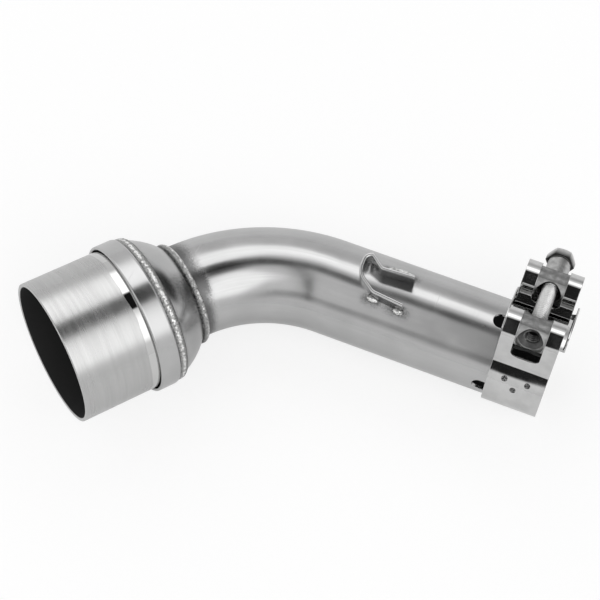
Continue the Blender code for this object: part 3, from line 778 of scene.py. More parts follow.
bandLook = {
    "haze": {"Cloud": 160.0, "Fine": 3000.0, "Seed": 0.2},
    "lines": {"Lines": 3000.0, "Stretch": 30.0, "Seed": 0.6},
    "base": (0.72, 0.72, 0.715), "dark": (0.57, 0.57, 0.568), "light": (0.65, 0.65, 0.647),
    # The inner side's colour is painted shade
    "line": (0.52, 0.52, 0.517), "lineShare": 0.2, "inside": (0.13, 0.13, 0.13),
    "rough": (0.025, 0.06), "scratchDull": 0.1, "bump": 0.2, "depth": 0.0000012,
}


def bandFinish():
    # Mirror strip with faint hairlines along it, and painted shade on its inner side
    b = bandLook
    material, tree, shader = newFinish("bandStainless", b["base"], 0.07)
    haze, lines = textures(b, objectPlace(tree, clampAxes))
    colour = tinted(haze["Clouds"], b["dark"], b["light"])
    colour = tinted(lines["Band"] * b["lineShare"], colour, b["line"])
    rough = mixed(haze["Clouds"], *b["rough"]) + haze["Scratches"] * b["scratchDull"]
    # Painted shade on the side that faces the trunnions and the lap
    dressed(shader, b, {"Base Color": tinted(attribute(tree, "inside"), colour, b["inside"]),
                        "Roughness": rough}, lines["Hair"] + haze["Grain"])
    return material


zincLook = {
    "haze": {"Cloud": 420.0, "Fine": 3400.0, "Seed": 0.7},
    "lines": {"Lines": 4200.0, "Stretch": 240.0, "Seed": 0.8},
    "base": (0.5, 0.5, 0.495), "dark": (0.4, 0.4, 0.398), "light": (0.6, 0.6, 0.595),
    "fresh": (0.86, 0.86, 0.855), "grainTone": (0.3, 0.3, 0.298), "grainShare": 0.35,
    # Near black for the painted shade in recesses and under the bolt's head
    "paintedShade": (0.03, 0.03, 0.03), "rough": (0.44, 0.27), "lineDull": 0.08, "grain": 1.4,
    "bump": 0.6, "depth": 0.000012,
}


def zincFinish():
    # Dull plate: a grey bloom in patches over turned metal
    z = zincLook
    material, tree, shader = newFinish("zincPlate", z["base"], 0.36)
    haze, lines = textures(z, objectPlace(tree, clampAxes))
    colour = tinted(haze["Clouds"], z["dark"], z["light"])
    colour = tinted(attribute(tree, "fresh"), colour, z["fresh"])
    colour = tinted(haze["Grain"] * z["grainShare"], colour, z["grainTone"])
    rough = mixed(haze["Clouds"], *z["rough"]) + lines["Band"] * z["lineDull"]
    # Painted shade where the pieces mark it: in the spot faces, the bore's thread, the bolt's tip
    # and under its head
    dressed(shader, z, {"Base Color": tinted(attribute(tree, "paintedShade"), colour, z["paintedShade"]),
                        "Roughness": rough}, lines["Hair"] + haze["Grain"] * z["grain"])
    return material


print("finish groups made")


# Bent pipe

pipe = {
    "radius": 19.05, "wall": 1.2, "bendRadius": 63.6, "bendAngle": 53.2,
    "inletLength": 92.2, "outletStub": 5.4,
    "slotWidth": 5.8, "slotLength": 26.7, "slots": 4, "slotTurn": -4.0,
    "seamTurn": 41.0, "columns": 144, "bendStep": 1.0, "straightStep": 2.0, "edge": 0.25,
    "slotSteps": 12, "roundSteps": 20, "gridGap": 0.35,
    # Heat tint: how far it reaches from the weld, then the dark band beside it in degrees round the
    # pipe, which on the dome is partly heat tint and partly painted dark reflection
    "heatReach": 6.5, "stainGain": 2.2, "darkBandTurn": 60.0, "darkBandHalf": 24.0,
    # Painted shadow beside the bracket's welds: start and end along the inlet, degrees round the
    # pipe
    "weldShadows": [(17.4, 22.2, 56.5), (27.6, 32.8, 54.5), (20.4, 32.0, 100.5)],
    "weldShadowReach": 3.6, "weldShadowMost": 0.85,
}
bendLength = pipe["bendRadius"] * math.radians(pipe["bendAngle"])


def centreLine(distance):
    turned = min(max(distance / pipe["bendRadius"], 0.0), math.radians(pipe["bendAngle"]))
    straight = distance - turned * pipe["bendRadius"]
    direction = Vector((-math.cos(turned), -math.sin(turned), 0))
    centre = Vector((-math.sin(turned), math.cos(turned) - 1, 0)) * pipe["bendRadius"]
    return centre + direction * straight, direction


def onPipe(distance, angle, radius):
    centre, direction = centreLine(distance)
    side = Vector((0, 0, 1)).cross(direction)
    way = side * math.cos(angle) + Vector((0, 0, math.sin(angle)))
    return centre + way * radius, way


def heatAndReflectionBand(turn):
    # 1 in the middle of the dark band round the pipe and dome, 0 at its sides: heat tint beside the
    # pipe's weld, partly heat tint and partly painted dark reflection across the dome
    away = abs((turn - pipe["darkBandTurn"] + 180) % 360 - 180) / pipe["darkBandHalf"]
    return max(0.0, 1.0 - away ** 2)


def makePipe():
    middle = pipe["radius"] - pipe["wall"] / 2
    start, end = -pipe["inletLength"], bendLength + pipe["outletStub"]
    seam = math.radians(pipe["seamTurn"])
    around = math.tau * middle
    half, tip = pipe["slotWidth"] / 2, start + pipe["slotLength"] - pipe["slotWidth"] / 2
    long, ends = pipe["slotSteps"], pipe["roundSteps"]
    stops = [start]
    while stops[-1] + pipe["straightStep"] * 1.4 < 0:
        stops.append(stops[-1] + pipe["straightStep"])
    count = round(bendLength / pipe["bendStep"])
    stops += [bendLength * i / count for i in range(count + 1)] + [end]
    column = around / pipe["columns"]
    rim = [(start, 0.0)] + [(s, 0.0) for s in stops[1:-1]] + [(end, 0.0)]
    rim += [(end, column * i) for i in range(1, pipe["columns"])]
    rim += [(s, around) for s in reversed(stops)]
    slotsDown = []
    for index in range(pipe["slots"]):
        middleTurn = math.radians(90 + pipe["slotTurn"] + 360 / pipe["slots"] * index)
        slotsDown.append(((middleTurn - seam) % math.tau) * middle)
    slotsDown.sort(reverse=True)
    high = around
    for centre in slotsDown:
        low = centre + half
        steps = round((high - low) / column)
        rim += [(start, high + (low - high) * i / steps) for i in range(1, steps + 1)]
        side = [start + (tip - start) * i / long for i in range(long)]
        turns = [math.pi * i / ends for i in range(ends + 1)]
        rim += [(s, low) for s in side[1:]]
        rim += [(tip + half * math.sin(a), centre + half * math.cos(a)) for a in turns]
        rim += [(s, centre - half) for s in reversed(side)]
        high = centre - half
    steps = round(high / column)
    rim += [(start, high * (1 - i / steps)) for i in range(1, steps)]
    grid = [(s, column * i) for s in stops[1:-1] for i in range(1, pipe["columns"])]

    def surface(u, v):
        return onPipe(u, seam + v / middle, middle)

    def isInside(u, v, height):
        return 1.0 if height < 0.01 - pipe["wall"] / 2 else 0.0

    def runMark(u, v, height):
        return Vector((middle * math.cos(v / middle), middle * math.sin(v / middle), u)) * mm

    def heatTintAndShade(u, v, height):
        turn = math.degrees(seam + v / middle)
        near = max(0.0, 1.0 - abs(u - bendLength) / pipe["heatReach"])
        mark = max(near, min(1.0, near * pipe["stainGain"]) * heatAndReflectionBand(turn))
        # Painted shadow round the bracket's welds
        for low, high, middleTurn in pipe["weldShadows"]:
            away = math.hypot(max(low + u, 0.0, -u - high),
                              math.radians((turn - middleTurn + 180) % 360 - 180) * middle)
            mark = max(mark, pipe["weldShadowMost"] * (1 - away / pipe["weldShadowReach"]))
        return mark

    return sheetPiece("bentPipe", [rim], grid, pipe["gridGap"], surface, pipe["wall"], pipe["edge"],
                      pipeAxes, polished, seam=(0.0, around),
                      marks={"inside": isInside, "pipeRun": runMark, "heatTintAndShade": heatTintAndShade})


polished = polishedFinish("polishedStainless", 0.515, 0.16, 0.21, 0.00035)
bentPipe = makePipe()
print("pipe made", len(bentPipe.data.polygons))


# Reducer, collar and sleeve, round the outlet's axis

outlet = {
    "domeWall": 1.5, "domeCentre": 26.65, "domeEnd": 16.55, "rimStep": 0.24,
    "sleeveRadius": 28.65, "sleeveWall": 1.4, "sleeveLength": 41.5,
    "collarWall": 1.25, "collarLength": 8.4, "collarLift": 0.55, "collarWeld": 1.8,
    "seat": 0.3, "sides": 192, "mirrorStrip": 2.7, "domeSteps": 26, "linerSteps": 12,
    "mouthEdge": 0.28, "lead": 0.3,
    # Heat tint on the dome: reach from each weld, then the dark band's share, where it ends and how
    # it fades, partly heat tint and partly painted dark reflection
    "pipeHeat": 6.0, "collarHeat": 3.2, "reflectionShare": 0.8, "reflectionEnd": 13.5, "reflectionFade": 4.0,
}
outletAxes = shifted(pipeAxes, centreLine(bendLength)[0], 180 + pipe["bendAngle"], "Z")
domeRadius = math.hypot(outlet["sleeveRadius"] + outlet["rimStep"],
                        outlet["domeCentre"] - outlet["domeEnd"])


def domeArc(radius, small, steps):
    start = math.asin(small / radius)
    end = math.acos((outlet["domeCentre"] - outlet["domeEnd"]) / radius)
    turns = [start + (end - start) * i / steps for i in range(steps + 1)]
    return [(outlet["domeCentre"] - radius * math.cos(a), radius * math.sin(a)) for a in turns]


def makeDome():
    hole = pipe["radius"] + 0.05
    innerRadius = domeRadius - outlet["domeWall"]
    outer = domeArc(domeRadius, hole, outlet["domeSteps"])
    inner = domeArc(innerRadius, hole, outlet["linerSteps"])

    def isInside(x, r, turn):
        return 1.0 if math.hypot(x - outlet["domeCentre"], r) < innerRadius + 0.01 else 0.0

    def heatTintAndShade(x, r, turn):
        # Heat tint near both welds, and one darker band where the weld run was closed, partly heat
        # tint and partly painted dark reflection
        rim = max(0.0, 0.6 - (x - outer[0][0]) / outlet["pipeHeat"],
                  1 - (outlet["domeEnd"] - x) / outlet["collarHeat"]) ** 1.5
        fade = min(1.0, max(0.0, (outlet["reflectionEnd"] - x) / outlet["reflectionFade"]))
        return max(rim, heatAndReflectionBand(turn) * outlet["reflectionShare"] * fade)

    return lathe("reducerDome", outer + inner[::-1], outlet["sides"], outletAxes, polished,
                 marks={"inside": isInside, "heatTintAndShade": heatTintAndShade})


def makeCollar():
    inner = outlet["sleeveRadius"] + outlet["collarLift"]
    outer = inner + outlet["collarWall"]
    back = outlet["domeEnd"] + 2 * outlet["seat"] + outlet["collarWeld"]
    front = back + outlet["collarLength"]
    lip, lead = outlet["collarWall"] / 2, outlet["lead"]
    shoulder = 0.75 * outlet["collarWall"]
    profile = [(back, inner), (front - lip - lead, inner)]
    profile += roundCorner((front - lip, inner + lip), lip, -90, 90, 10)
    profile += [(front - lip - lead, outer), (back + shoulder + lead, outer)]
    profile += roundCorner((back + shoulder, outer - shoulder), shoulder, 90, 180, 8)
    return lathe("collarRing", profile, outlet["sides"], outletAxes, polished)


def makeSleeve():
    root = outlet["domeEnd"] + outlet["seat"]
    mouth = root + outlet["sleeveLength"]
    outer = outlet["sleeveRadius"]
    inner = outer - outlet["sleeveWall"]
    edge = outlet["mouthEdge"]
    stops = [root + (mouth - root) * i / 8 for i in range(8)]
    profile = [(x, inner) for x in stops]
    profile += [(mouth - edge - 0.2, inner)]
    profile += roundCorner((mouth - edge, inner + edge), edge, -90, 0, 5)
    profile += roundCorner((mouth - edge, outer - edge), edge, 0, 90, 5)
    profile += [(mouth - edge - 0.2, outer)]
    profile += [(x, outer) for x in reversed(stops)]

    def isInside(x, r, turn):
        return 1.0 if r < inner + 0.01 else 0.0

    return lathe("outletSleeve", profile, outlet["sides"], outletAxes, brushed,
                 marks={"inside": isInside})


mirrorEnd = (outlet["domeEnd"] + 2 * outlet["seat"] + outlet["collarWeld"] + outlet["collarLength"]
             + outlet["mirrorStrip"]) * mm
brushed = brushedFinish()
reducerDome = weighted(makeDome())
collarRing = weighted(makeCollar())
outletSleeve = weighted(makeSleeve())
print("outlet made")


# Welds round the outlet

beadMetal = weldFinish()
weldTree = beadTree()
domeStart = outlet["domeCentre"] - math.sqrt(domeRadius ** 2 - pipe["radius"] ** 2)
ringWelds = {
    # Place along the outlet, radius, and how far the crown leans back, then the bead's own sizes
    "pipeWeld": (domeStart - 0.35, pipe["radius"] + 0.35, 35.0, {
        "Width": 3.0, "Height": 3.0, "Pitch": 1.05, "Ripple": 0.13, "Bow": 0.35, "Wander": 0.16,
        "Grain": 0.1, "Step": 0.16, "Seed": 0.13, "Sides": 20}),
    "collarWeld": (outlet["domeEnd"] + 0.75, outlet["sleeveRadius"] + 0.05, 0.0, {
        "Width": 3.6, "Height": 2.2, "Pitch": 1.15, "Ripple": 0.12, "Bow": 0.35, "Wander": 0.14,
        "Grain": 0.1, "Step": 0.18, "Seed": 0.47, "Sides": 20}),
}


def beadValues(sizes):
    lengths = ("Width", "Height", "Pitch", "Step")
    return {k: v * mm if k in lengths else v for k, v in sizes.items()}


def makeRingWeld(name):
    along, radius, lean, sizes = ringWelds[name]
    lean = math.radians(lean)
    turns = [math.tau * i / 120 for i in range(120)]
    points = [(along, radius * math.cos(a), radius * math.sin(a)) for a in turns]
    crowns = [(-math.sin(lean), math.cos(lean) * math.cos(a), math.cos(lean) * math.sin(a))
              for a in turns]
    line = beadLine(name + "Line", points, crowns, True, outletAxes)
    return grown(name, line, weldTree, beadValues(sizes), beadMetal)


pipeWeld, collarWeld = makeRingWeld("pipeWeld"), makeRingWeld("collarWeld")
print("ring welds made", len(pipeWeld.data.polygons), len(collarWeld.data.polygons))


# Keyhole bracket

bracket = {
    "turn": 16.0, "top": 25.0, "strip": 1.4, "edge": 0.55, "sunk": 0.5,
    "loopLeft": 11.9, "neck": 19.6, "nearEnd": 32.0, "farEnd": 32.5,
    "nearNeck": -4.25, "nearOpen": -5.5, "farNeck": 5.75, "farOpen": 6.5,
    "corners": [(11.9, 1.2, 7.0), (11.9, 8.4, 3.0), (14.3, 9.9, 0.9)],
    "nearNeckBend": 4.0, "farNeckBend": 1.5, "lead": 0.6, "burr": 0.18,
    # Painted shade on the walls: everywhere, and more on each leg from a place past the loop
    "paintedWallShade": 0.3, "nearWallShade": 0.45, "farWallShade": 0.65, "wallShadeStart": 4.0,
}
saddleAxes = shifted(pipeAxes, turn=bracket["turn"])


def roundedPath(corners, step):
    # (along, across) points through corners of (along, across, bend radius)
    points = [Vector(corners[0][:2])]
    for before, here, after in zip(corners, corners[1:], corners[2:]):
        corner = Vector(here[:2])
        back = (Vector(before[:2]) - corner).normalized()
        on = (Vector(after[:2]) - corner).normalized()
        half = math.acos(max(-1.0, min(1.0, back.dot(on)))) / 2
        centre = corner + (back + on).normalized() * here[2] / math.sin(half)
        start = corner + back * here[2] / math.tan(half) - centre
        turn = (math.pi - 2 * half) * (1 if back.x * on.y - back.y * on.x < 0 else -1)
        steps = max(2, round(abs(turn) / math.radians(step)))
        points += [centre + Matrix.Rotation(turn * i / steps, 2) @ start for i in range(steps + 1)]
    points.append(Vector(corners[-1][:2]))
    return points


def sideNormals(points):
    normals = []
    for i, here in enumerate(points):
        before, after = points[max(i - 1, 0)], points[min(i + 1, len(points) - 1)]
        ahead = (after - here).normalized() if after != here else (here - before).normalized()
        behind = (here - before).normalized() if before != here else ahead
        mean = (ahead + behind).normalized()
        normals.append(Vector((-mean.y, mean.x)) / max(0.5, mean.dot(ahead)))
    return normals


def makeBracket():
    b = bracket
    path = roundedPath([
        (b["nearEnd"], b["nearOpen"], 0), (b["neck"], b["nearNeck"], b["nearNeckBend"]),
        *b["corners"],
        (b["neck"], b["farNeck"], b["farNeckBend"]), (b["farEnd"], b["farOpen"], 0)], 4)
    half, edge = b["strip"] / 2, b["edge"]
    rings = []
    for point, normal in zip(path, sideNormals(path)):
        section = [(-half, None), (half, None), (half, b["top"] - edge - b["lead"])]
        section += roundCorner((half - edge, b["top"] - edge), edge, 0, 90, 5)
        section += roundCorner((edge - half, b["top"] - edge), edge, 90, 180, 5)
        section += [(-half, b["top"] - edge - b["lead"])]
        ring = []
        for offset, height in section:
            flat = point + normal * offset
            if height is None:
                height = math.sqrt(pipe["radius"] ** 2 - flat.y ** 2) - b["sunk"]
            ring.append(Vector((flat.x, flat.y, height)))
        rings.append(ring)
    strip = loft("sideBracket", rings, saddleAxes, polishedStrip, sharp=50)
    back = saddleAxes.inverted()

    def paintedWallShade(point):
        # Painted shade: the walls are darker than the top edges, most of all inside the legs
        here = back @ point
        if here.z > b["top"] - b["edge"] - 0.3:
            return 0.0
        leg = min(1.0, max(0.0, (here.x - b["loopLeft"]) / b["wallShadeStart"] - 1))
        return b["paintedWallShade"] + (b["farWallShade"] if here.y > 0 else b["nearWallShade"]) * leg

    return marked(weighted(rounded(strip, b["burr"], 2, 60)), "heatTintAndShade", paintedWallShade)


polishedStrip = polishedFinish("polishedStrip", 0.6, 0.07, 0.1, 0.0)
sideBracket = makeBracket()

bracketWelds = {
    "common": {"Pitch": 1.5, "Ripple": 0.16, "Bow": 0.3, "Wander": 0.3, "Grain": 0.12, "Step": 0.14,
               "End": 0.35, "Sides": 18},
    # Leg, start and end along the inlet, how far outside the leg, then what differs from the rest
    "beads": [
        ("near", 17.4, 22.2, 0.1, {"Width": 3.0, "Height": 3.0, "Seed": 0.21}),
        ("near", 28.4, 32.6, 0.1, {"Width": 3.0, "Height": 3.0, "Seed": 0.35}),
        ("far", 20.4, 32.0, 1.5, {"Width": 3.6, "Height": 3.6, "Seed": 0.66, "Pitch": 3.6,
                                  "Ripple": 0.3, "Bow": 0.1}),
    ],
}


def makeBracketWeld(name, leg, start, stop, out, sizes):
    b = bracket
    neck, opened, end = (b[leg + part] for part in ("Neck", "Open", "End"))
    side = -1 if leg == "near" else 1
    points, crowns = [], []
    count = 16
    for i in range(count + 1):
        along = start + (stop - start) * i / count
        across = neck + (opened - neck) * (along - b["neck"]) / (end - b["neck"])
        across += side * (b["strip"] / 2 + out)
        height = math.sqrt(pipe["radius"] ** 2 - across ** 2) - 0.1
        points.append((along, across, height))
        crowns.append((0, side * 0.7, 0.7))
    line = beadLine(name + "Line", points, crowns, False, saddleAxes)
    sizes = {**bracketWelds["common"], **sizes}
    return grown(name, line, weldTree, beadValues(sizes), beadMetal)


legWelds = [makeBracketWeld(f"bracketWeld{i}", *bead)
            for i, bead in enumerate(bracketWelds["beads"], 1)]
print("bracket made")


# Band clamp

clamp = {
    "setback": 10.7, "turn": -10.5, "width": 22.0, "thickness": 0.7, "seat": 0.3, "lap": 0.1,
    "lapEnd": 96.0, "loopFoot": 60.5, "footBend": 2.5, "wallBend": 1.2, "bridge": 0.7,
    "windowWidth": 11.2, "windowCorner": 2.6, "outerWindowLow": 17.0, "innerWindowLow": 22.6,
    "boltHeight": 26.7, "offset": 13.8, "barrel": 6.3, "joggleHigh": 52.0, "joggleLow": 57.5,
}
clampAxes = shifted(pipeAxes, (pipe["inletLength"] - clamp["setback"], 0, 0), clamp["turn"])


def polar(radius, degrees):
    a = math.radians(degrees)
    return Vector((radius * math.sin(a), radius * math.cos(a)))


def bearing(vector):
    return math.degrees(math.atan2(vector.x, vector.y))


def arc(centre, radius, start, end, step=1.5):
    count = max(1, round(abs(end - start) / step))
    return [centre + polar(radius, start + (end - start) * i / count) for i in range(count + 1)]


def bandHalf():
    # Middle line of the near half in the clamp's (Y, Z) plane, from the free end under the lap
    c = clamp
    inner = pipe["radius"] + c["seat"] + c["thickness"] / 2
    outer = inner + c["thickness"] + c["lap"]
    raised = pipe["radius"] + c["bridge"] + 2 * c["seat"] + c["thickness"] / 2
    loopRadius = c["barrel"] + c["seat"] + c["thickness"] / 2
    loop = Vector((-c["offset"], c["boltHeight"]))
    wallY = loop.x + loopRadius - c["wallBend"]
    wall = Vector((wallY, math.sqrt((raised + c["wallBend"]) ** 2 - wallY ** 2)))
    zero = Vector((0, 0))
    points = arc(zero, inner, -c["lapEnd"], -c["joggleLow"])
    points += arc(zero, raised, -c["joggleHigh"], bearing(wall))
    points += arc(wall, c["wallBend"], bearing(-wall), 90, 9)[1:]
    foot = polar(outer + c["footBend"], -c["loopFoot"])
    span = loop - foot
    lean = math.asin((c["footBend"] + loopRadius) / span.length)
    travel = Matrix.Rotation(lean, 2) @ span.normalized()
    left = Vector((-travel.y, travel.x))
    points += arc(loop, loopRadius, 90, bearing(left), 3)
    points += arc(foot, c["footBend"], bearing(-left), bearing(-foot) % 360, 5)
    points += arc(zero, outer, -c["loopFoot"], -180)[1:]
    return points


def evenPath(points, longest):
    # The same path with extra points on its long straight spans
    found = [points[0]]
    for before, after in zip(points, points[1:]):
        count = max(1, math.ceil((after - before).length / longest))
        found += [before.lerp(after, i / count) for i in range(1, count + 1)]
    return found


def makeBand():
    c = clamp
    half = bandHalf()
    path = evenPath(half + [Vector((-p.x, p.y)) for p in reversed(half[:-1])], 0.8)
    normals = [n.normalized() for n in sideNormals(path)]
    runs = [0.0]
    for before, after in zip(path, path[1:]):
        runs.append(runs[-1] + (after - before).length)

    def surface(u, v):
        i = min(max(bisect_right(runs, u) - 1, 0), len(runs) - 2)
        share = (u - runs[i]) / (runs[i + 1] - runs[i])
        p = path[i].lerp(path[i + 1], share)
        n = normals[i].lerp(normals[i + 1], share).normalized()
        return Vector((v, p.x, p.y)), Vector((0, n.x, n.y))

    def runAt(height, start, end):
        # Where the path crosses a height between two of its points
        for i in range(start, end):
            a, b = path[i].y, path[i + 1].y
            if (a - height) * (b - height) <= 0 and a != b:
                return runs[i] + (runs[i + 1] - runs[i]) * (height - a) / (b - a)

    top = max(range(len(path) // 2), key=lambda i: path[i].y)
    # Where the strip leaves the pipe, before the loop's inner side
    first = min(range(top), key=lambda i: (abs(path[i].y - pipe["radius"] - 1.2)
                                           + abs(i - top) * 0.02))
    windows = []
    for mirrored in (False, True):
        low = runAt(c["innerWindowLow"], first, top)
        high = runAt(c["outerWindowLow"], top, len(path) // 2)
        if mirrored:
            low, high = runs[-1] - high, runs[-1] - low
        w, r = c["windowWidth"] / 2, c["windowCorner"]
        corners = ((high - r, w - r), (low + r, w - r), (low + r, r - w), (high - r, r - w))
        hole = [p for i, corner in enumerate(corners)
                for p in roundCorner(corner, r, 90 * i, 90 * (i + 1), 8)]
        windows.append(closeSteps(hole, 0.5))
    wide = c["width"] / 2
    rim = closeSteps([(0, -wide), (runs[-1], -wide), (runs[-1], wide), (0, wide)], 0.5, runs)
    columns = [wide * i / 8 for i in range(-7, 8)]
    grid = [(u, v) for u in runs[1:-1] for v in columns]

    def isInside(u, v, height):
        # The side that faces the trunnions and the lap
        return 1.0 if height > c["thickness"] / 2 - 0.01 else 0.0

    return sheetPiece("clampBand", [rim, *windows], grid, 0.3, surface, c["thickness"], 0.16,
                      clampAxes, bandSteel, marks={"inside": isInside})


def closeSteps(loop, longest, stops=None):
    # The same loop with extra points on its long sides, at the given stops where there are some
    found = []
    for before, after in zip(loop, loop[1:] + loop[:1]):
        before, after = Vector(before), Vector(after)
        span = (after - before).length
        if stops and abs(before.y - after.y) < 1e-9 and span > 20:
            shares = [(s - before.x) / (after.x - before.x) for s in stops]
            shares = sorted({round(s, 9) for s in shares if 1e-6 < s < 1 - 1e-6})
            found += [tuple(before)] + [tuple(before.lerp(after, s)) for s in shares]
            continue
        count = max(1, math.ceil(span / longest))
        found += [tuple(before.lerp(after, i / count)) for i in range(count)]
    return found


bandSteel, zinc = bandFinish(), zincFinish()
clampBand = makeBand()
print("band made", len(clampBand.data.polygons))


# Spot welds and a pit: shallow craters set on a curved surface

craters = {
    # Along the clamp and degrees round it, on the near lap, which the far lap mirrors
    "spots": [(-4.6, -75.1), (4.4, -74.7), (-0.3, -86.2)],
    "sizes": {"Radius": 1.2, "Rise": 0.08, "Sunk": 0.03},
}
pit = {"spots": [(63.4, -17.8)], "sizes": {"Radius": 0.42, "Rise": 0.08, "Sunk": 0.02}}
craterShape = {"steps": 11, "sides": 33, "wave": 1.5, "ring": 1.6}


def craterTree():
    # A raised rim round a dimple on each of the carrier's points, turned the way its crown faces
    c = craterShape
    tree, size, made = shapeTree("craters", [
        ("Radius", 0.001), ("Rise", 0.0001), ("Sunk", 0.00003), ("Vary", 0.12)],
        [("Seed", "Int", 3)])
    disc, reach, turn = unitGrid(tree, c["steps"], c["sides"])
    angle, far = turn * math.tau, reach * size["Radius"]
    # One wave from the middle to the rim
    wave = sums("SINE", reach ** c["wave"] * math.pi)
    shape = combined(tree, X=far * sums("COSINE", angle), Y=far * sums("SINE", angle),
                     Z=wave * size["Rise"] - reach * size["Sunk"])
    # The crown value makes the weld finish paint a highlight in the middle and painted shade in a
    # ring round the dimple
    crater = merged(stored(placed(disc, shape), "beadCrown", abs(1.0 - reach * c["ring"])))
    facing = wire(tree, "FunctionNodeAlignRotationToVector", {"Vector": crownOf(tree)}, axis="Z")
    sizes = node(tree, "FunctionNodeRandomValue", {
        "Min": 1.0 - size["Vary"], "Max": 1.0 + size["Vary"], "Seed": size["Seed"]},
        data_type="FLOAT")
    factor = Wire(next(socket for socket in sizes.outputs if socket.type == "VALUE"))
    copies = wire(tree, "GeometryNodeInstanceOnPoints", {
        "Points": size["Geometry"], "Instance": crater, "Rotation": facing, "Scale": factor})
    return finished(copies, size["Finish"], made)


def makeCraters(name, spots, radius, place, sizes):
    # Spots are (along, degrees round) on a cylinder of that radius
    points, crowns = [], []
    for along, turn in spots:
        out = polar(1.0, turn)
        points.append((along, out.x * radius, out.y * radius))
        crowns.append((0, out.x, out.y))
    return grown(name, beadLine(name + "Points", points, crowns, False, place), craterGeometry,
                 {label: value * mm for label, value in sizes.items()}, beadMetal, solid=False)


craterGeometry = craterTree()
lapRadius = pipe["radius"] + clamp["seat"] + 2 * clamp["thickness"] + clamp["lap"]
spotWelds = makeCraters("spotWelds", craters["spots"] + [(a, -t) for a, t in craters["spots"]],
                        lapRadius, clampAxes, craters["sizes"])
spatter = makeCraters("spatter", pit["spots"], pipe["radius"], pipeAxes, pit["sizes"])
print("spots made", len(spotWelds.data.polygons))


# Bridge plate under the clamp's gap

bridge = {
    "thickness": 0.7, "turn": 6.0, "half": 44.0, "sideAngle": 23.0, "sideEnd": 33.0,
    "sideHeight": 5.6, "play": 1.2, "inset": 0.5, "corner": 0.9, "steps": 176,
    "lip": 0.22, "fillet": 0.35, "lowCount": 12, "topCount": 24,
}


def bridgeSection(angle):
    b = bridge
    low = pipe["radius"] + clamp["seat"]
    high = low + b["thickness"]
    back = -clamp["width"] / 2 - clamp["seat"]
    front = -back + b["play"]
    over = (abs(angle) - b["sideAngle"]) / (b["sideEnd"] - b["sideAngle"])
    t, r = b["thickness"], b["corner"]
    if over < 1:
        side = high + clamp["seat"] + (b["sideHeight"] - t) * math.sqrt(1 - max(0.0, over) ** 2)
        lip = min(b["lip"], (side - high) / 3)
        outline = roundCorner((back - t + r, low + r), r, 180, 270, 5)
        outline += roundCorner((front + t - r, low + r), r, 270, 360, 5)
        outline += roundCorner((front + t - lip, side - lip), lip, 0, 90, 3)
        outline += roundCorner((front + lip, side - lip), lip, 90, 180, 3)
        inner = min(b["fillet"], (side - high) / 2)
        outline += roundCorner((front - inner, high + inner), inner, 0, -90, 3)
        outline += roundCorner((back + inner, high + inner), inner, -90, -180, 3)
        outline += roundCorner((back - lip, side - lip), lip, 0, 90, 3)
        outline += roundCorner((back - t + lip, side - lip), lip, 90, 180, 3)
        return outline
    reach = clamp["width"] / 2 - b["inset"]
    # As many points as the section with sides has: its two lower corners, then the rest
    outline = []
    for count, way, height in ((b["lowCount"], 1, low), (b["topCount"], -1, high)):
        outline += [(way * reach * (2 * i / (count - 1) - 1), height) for i in range(count)]
    return outline


def makeBridge():
    b = bridge
    rings = []
    for i in range(b["steps"] + 1):
        angle = b["half"] * (2 * i / b["steps"] - 1)
        ring = []
        for x, radius in bridgeSection(angle):
            flat = polar(radius, angle + b["turn"])
            ring.append(Vector((x, flat.x, flat.y)))
        rings.append(ring)
    return weighted(loft("bridgePlate", rings, clampAxes, bandSteel, sharp=40))


bridgePlate = makeBridge()
print("bridge made")


# Trunnions, bush and bolt

barrel = {
    "radius": 6.3, "length": 21.6, "edge": 0.45, "spotRadius": 5.3, "spotDepth": 3.0,
    "sinkRadius": 4.7, "sinkDepth": 1.1, "tapped": 3.2, "plain": 3.3, "sides": 96, "burr": 0.14,
    # Painted shade in the spot faces and all over the barrel, and the width of the light rim left
    # as a painted highlight
    "play": 0.05, "reach": 20.0, "spotPaintedShade": 0.85, "paintedShading": 0.48, "highlightRimWidth": 0.2,
}
threadRod = threadTree()


def cutAway(target, tool, operation="DIFFERENCE"):
    cut = target.modifiers.new("cut", "BOOLEAN")
    cut.operation = operation
    cut.object = tool
    cut.solver = "EXACT"
    settled(target)
    bpy.data.objects.remove(tool, do_unlink=True)
    return target


def makeBarrel(name, side, bore):
    b = barrel
    place = shifted(clampAxes, (0, side * clamp["offset"], clamp["boltHeight"]))
    half = b["length"] / 2
    edge, high = b["edge"], b["radius"] - b["edge"]
    profile = [(-half, 0)] + roundCorner((edge - half, high), edge, 180, 90, 5)
    profile += roundCorner((half - edge, high), edge, 90, 0, 5) + [(half, 0)]
    body = lathe(name, profile, b["sides"], place, zinc, closed=False)
    across = place @ Matrix.Rotation(math.radians(90), 4, "Z")
    flat = b["radius"] - b["spotDepth"]
    for flank in (-1, 1):
        face = [(flat - b["sinkDepth"], 0), (flat - b["sinkDepth"], bore + b["play"]),
                (flat, b["sinkRadius"]), (flat, b["spotRadius"]),
                (3 * b["radius"], b["spotRadius"]), (3 * b["radius"], 0)]
        cutAway(body, lathe("spot", [(flank * x, r) for x, r in face], b["sides"], across, zinc,
                            closed=False))
    hole = [(-b["reach"], 0), (-b["reach"], bore), (b["reach"], bore), (b["reach"], 0)]
    cutAway(body, lathe("bore", hole, 64, across, zinc, closed=False))
    return body, place


def joined(name, pieces):
    bpy.ops.object.select_all(action="DESELECT")
    for piece in pieces:
        piece.select_set(True)
    bpy.context.view_layer.objects.active = pieces[0]
    bpy.ops.object.join()
    pieces[0].name = name
    return pieces[0]


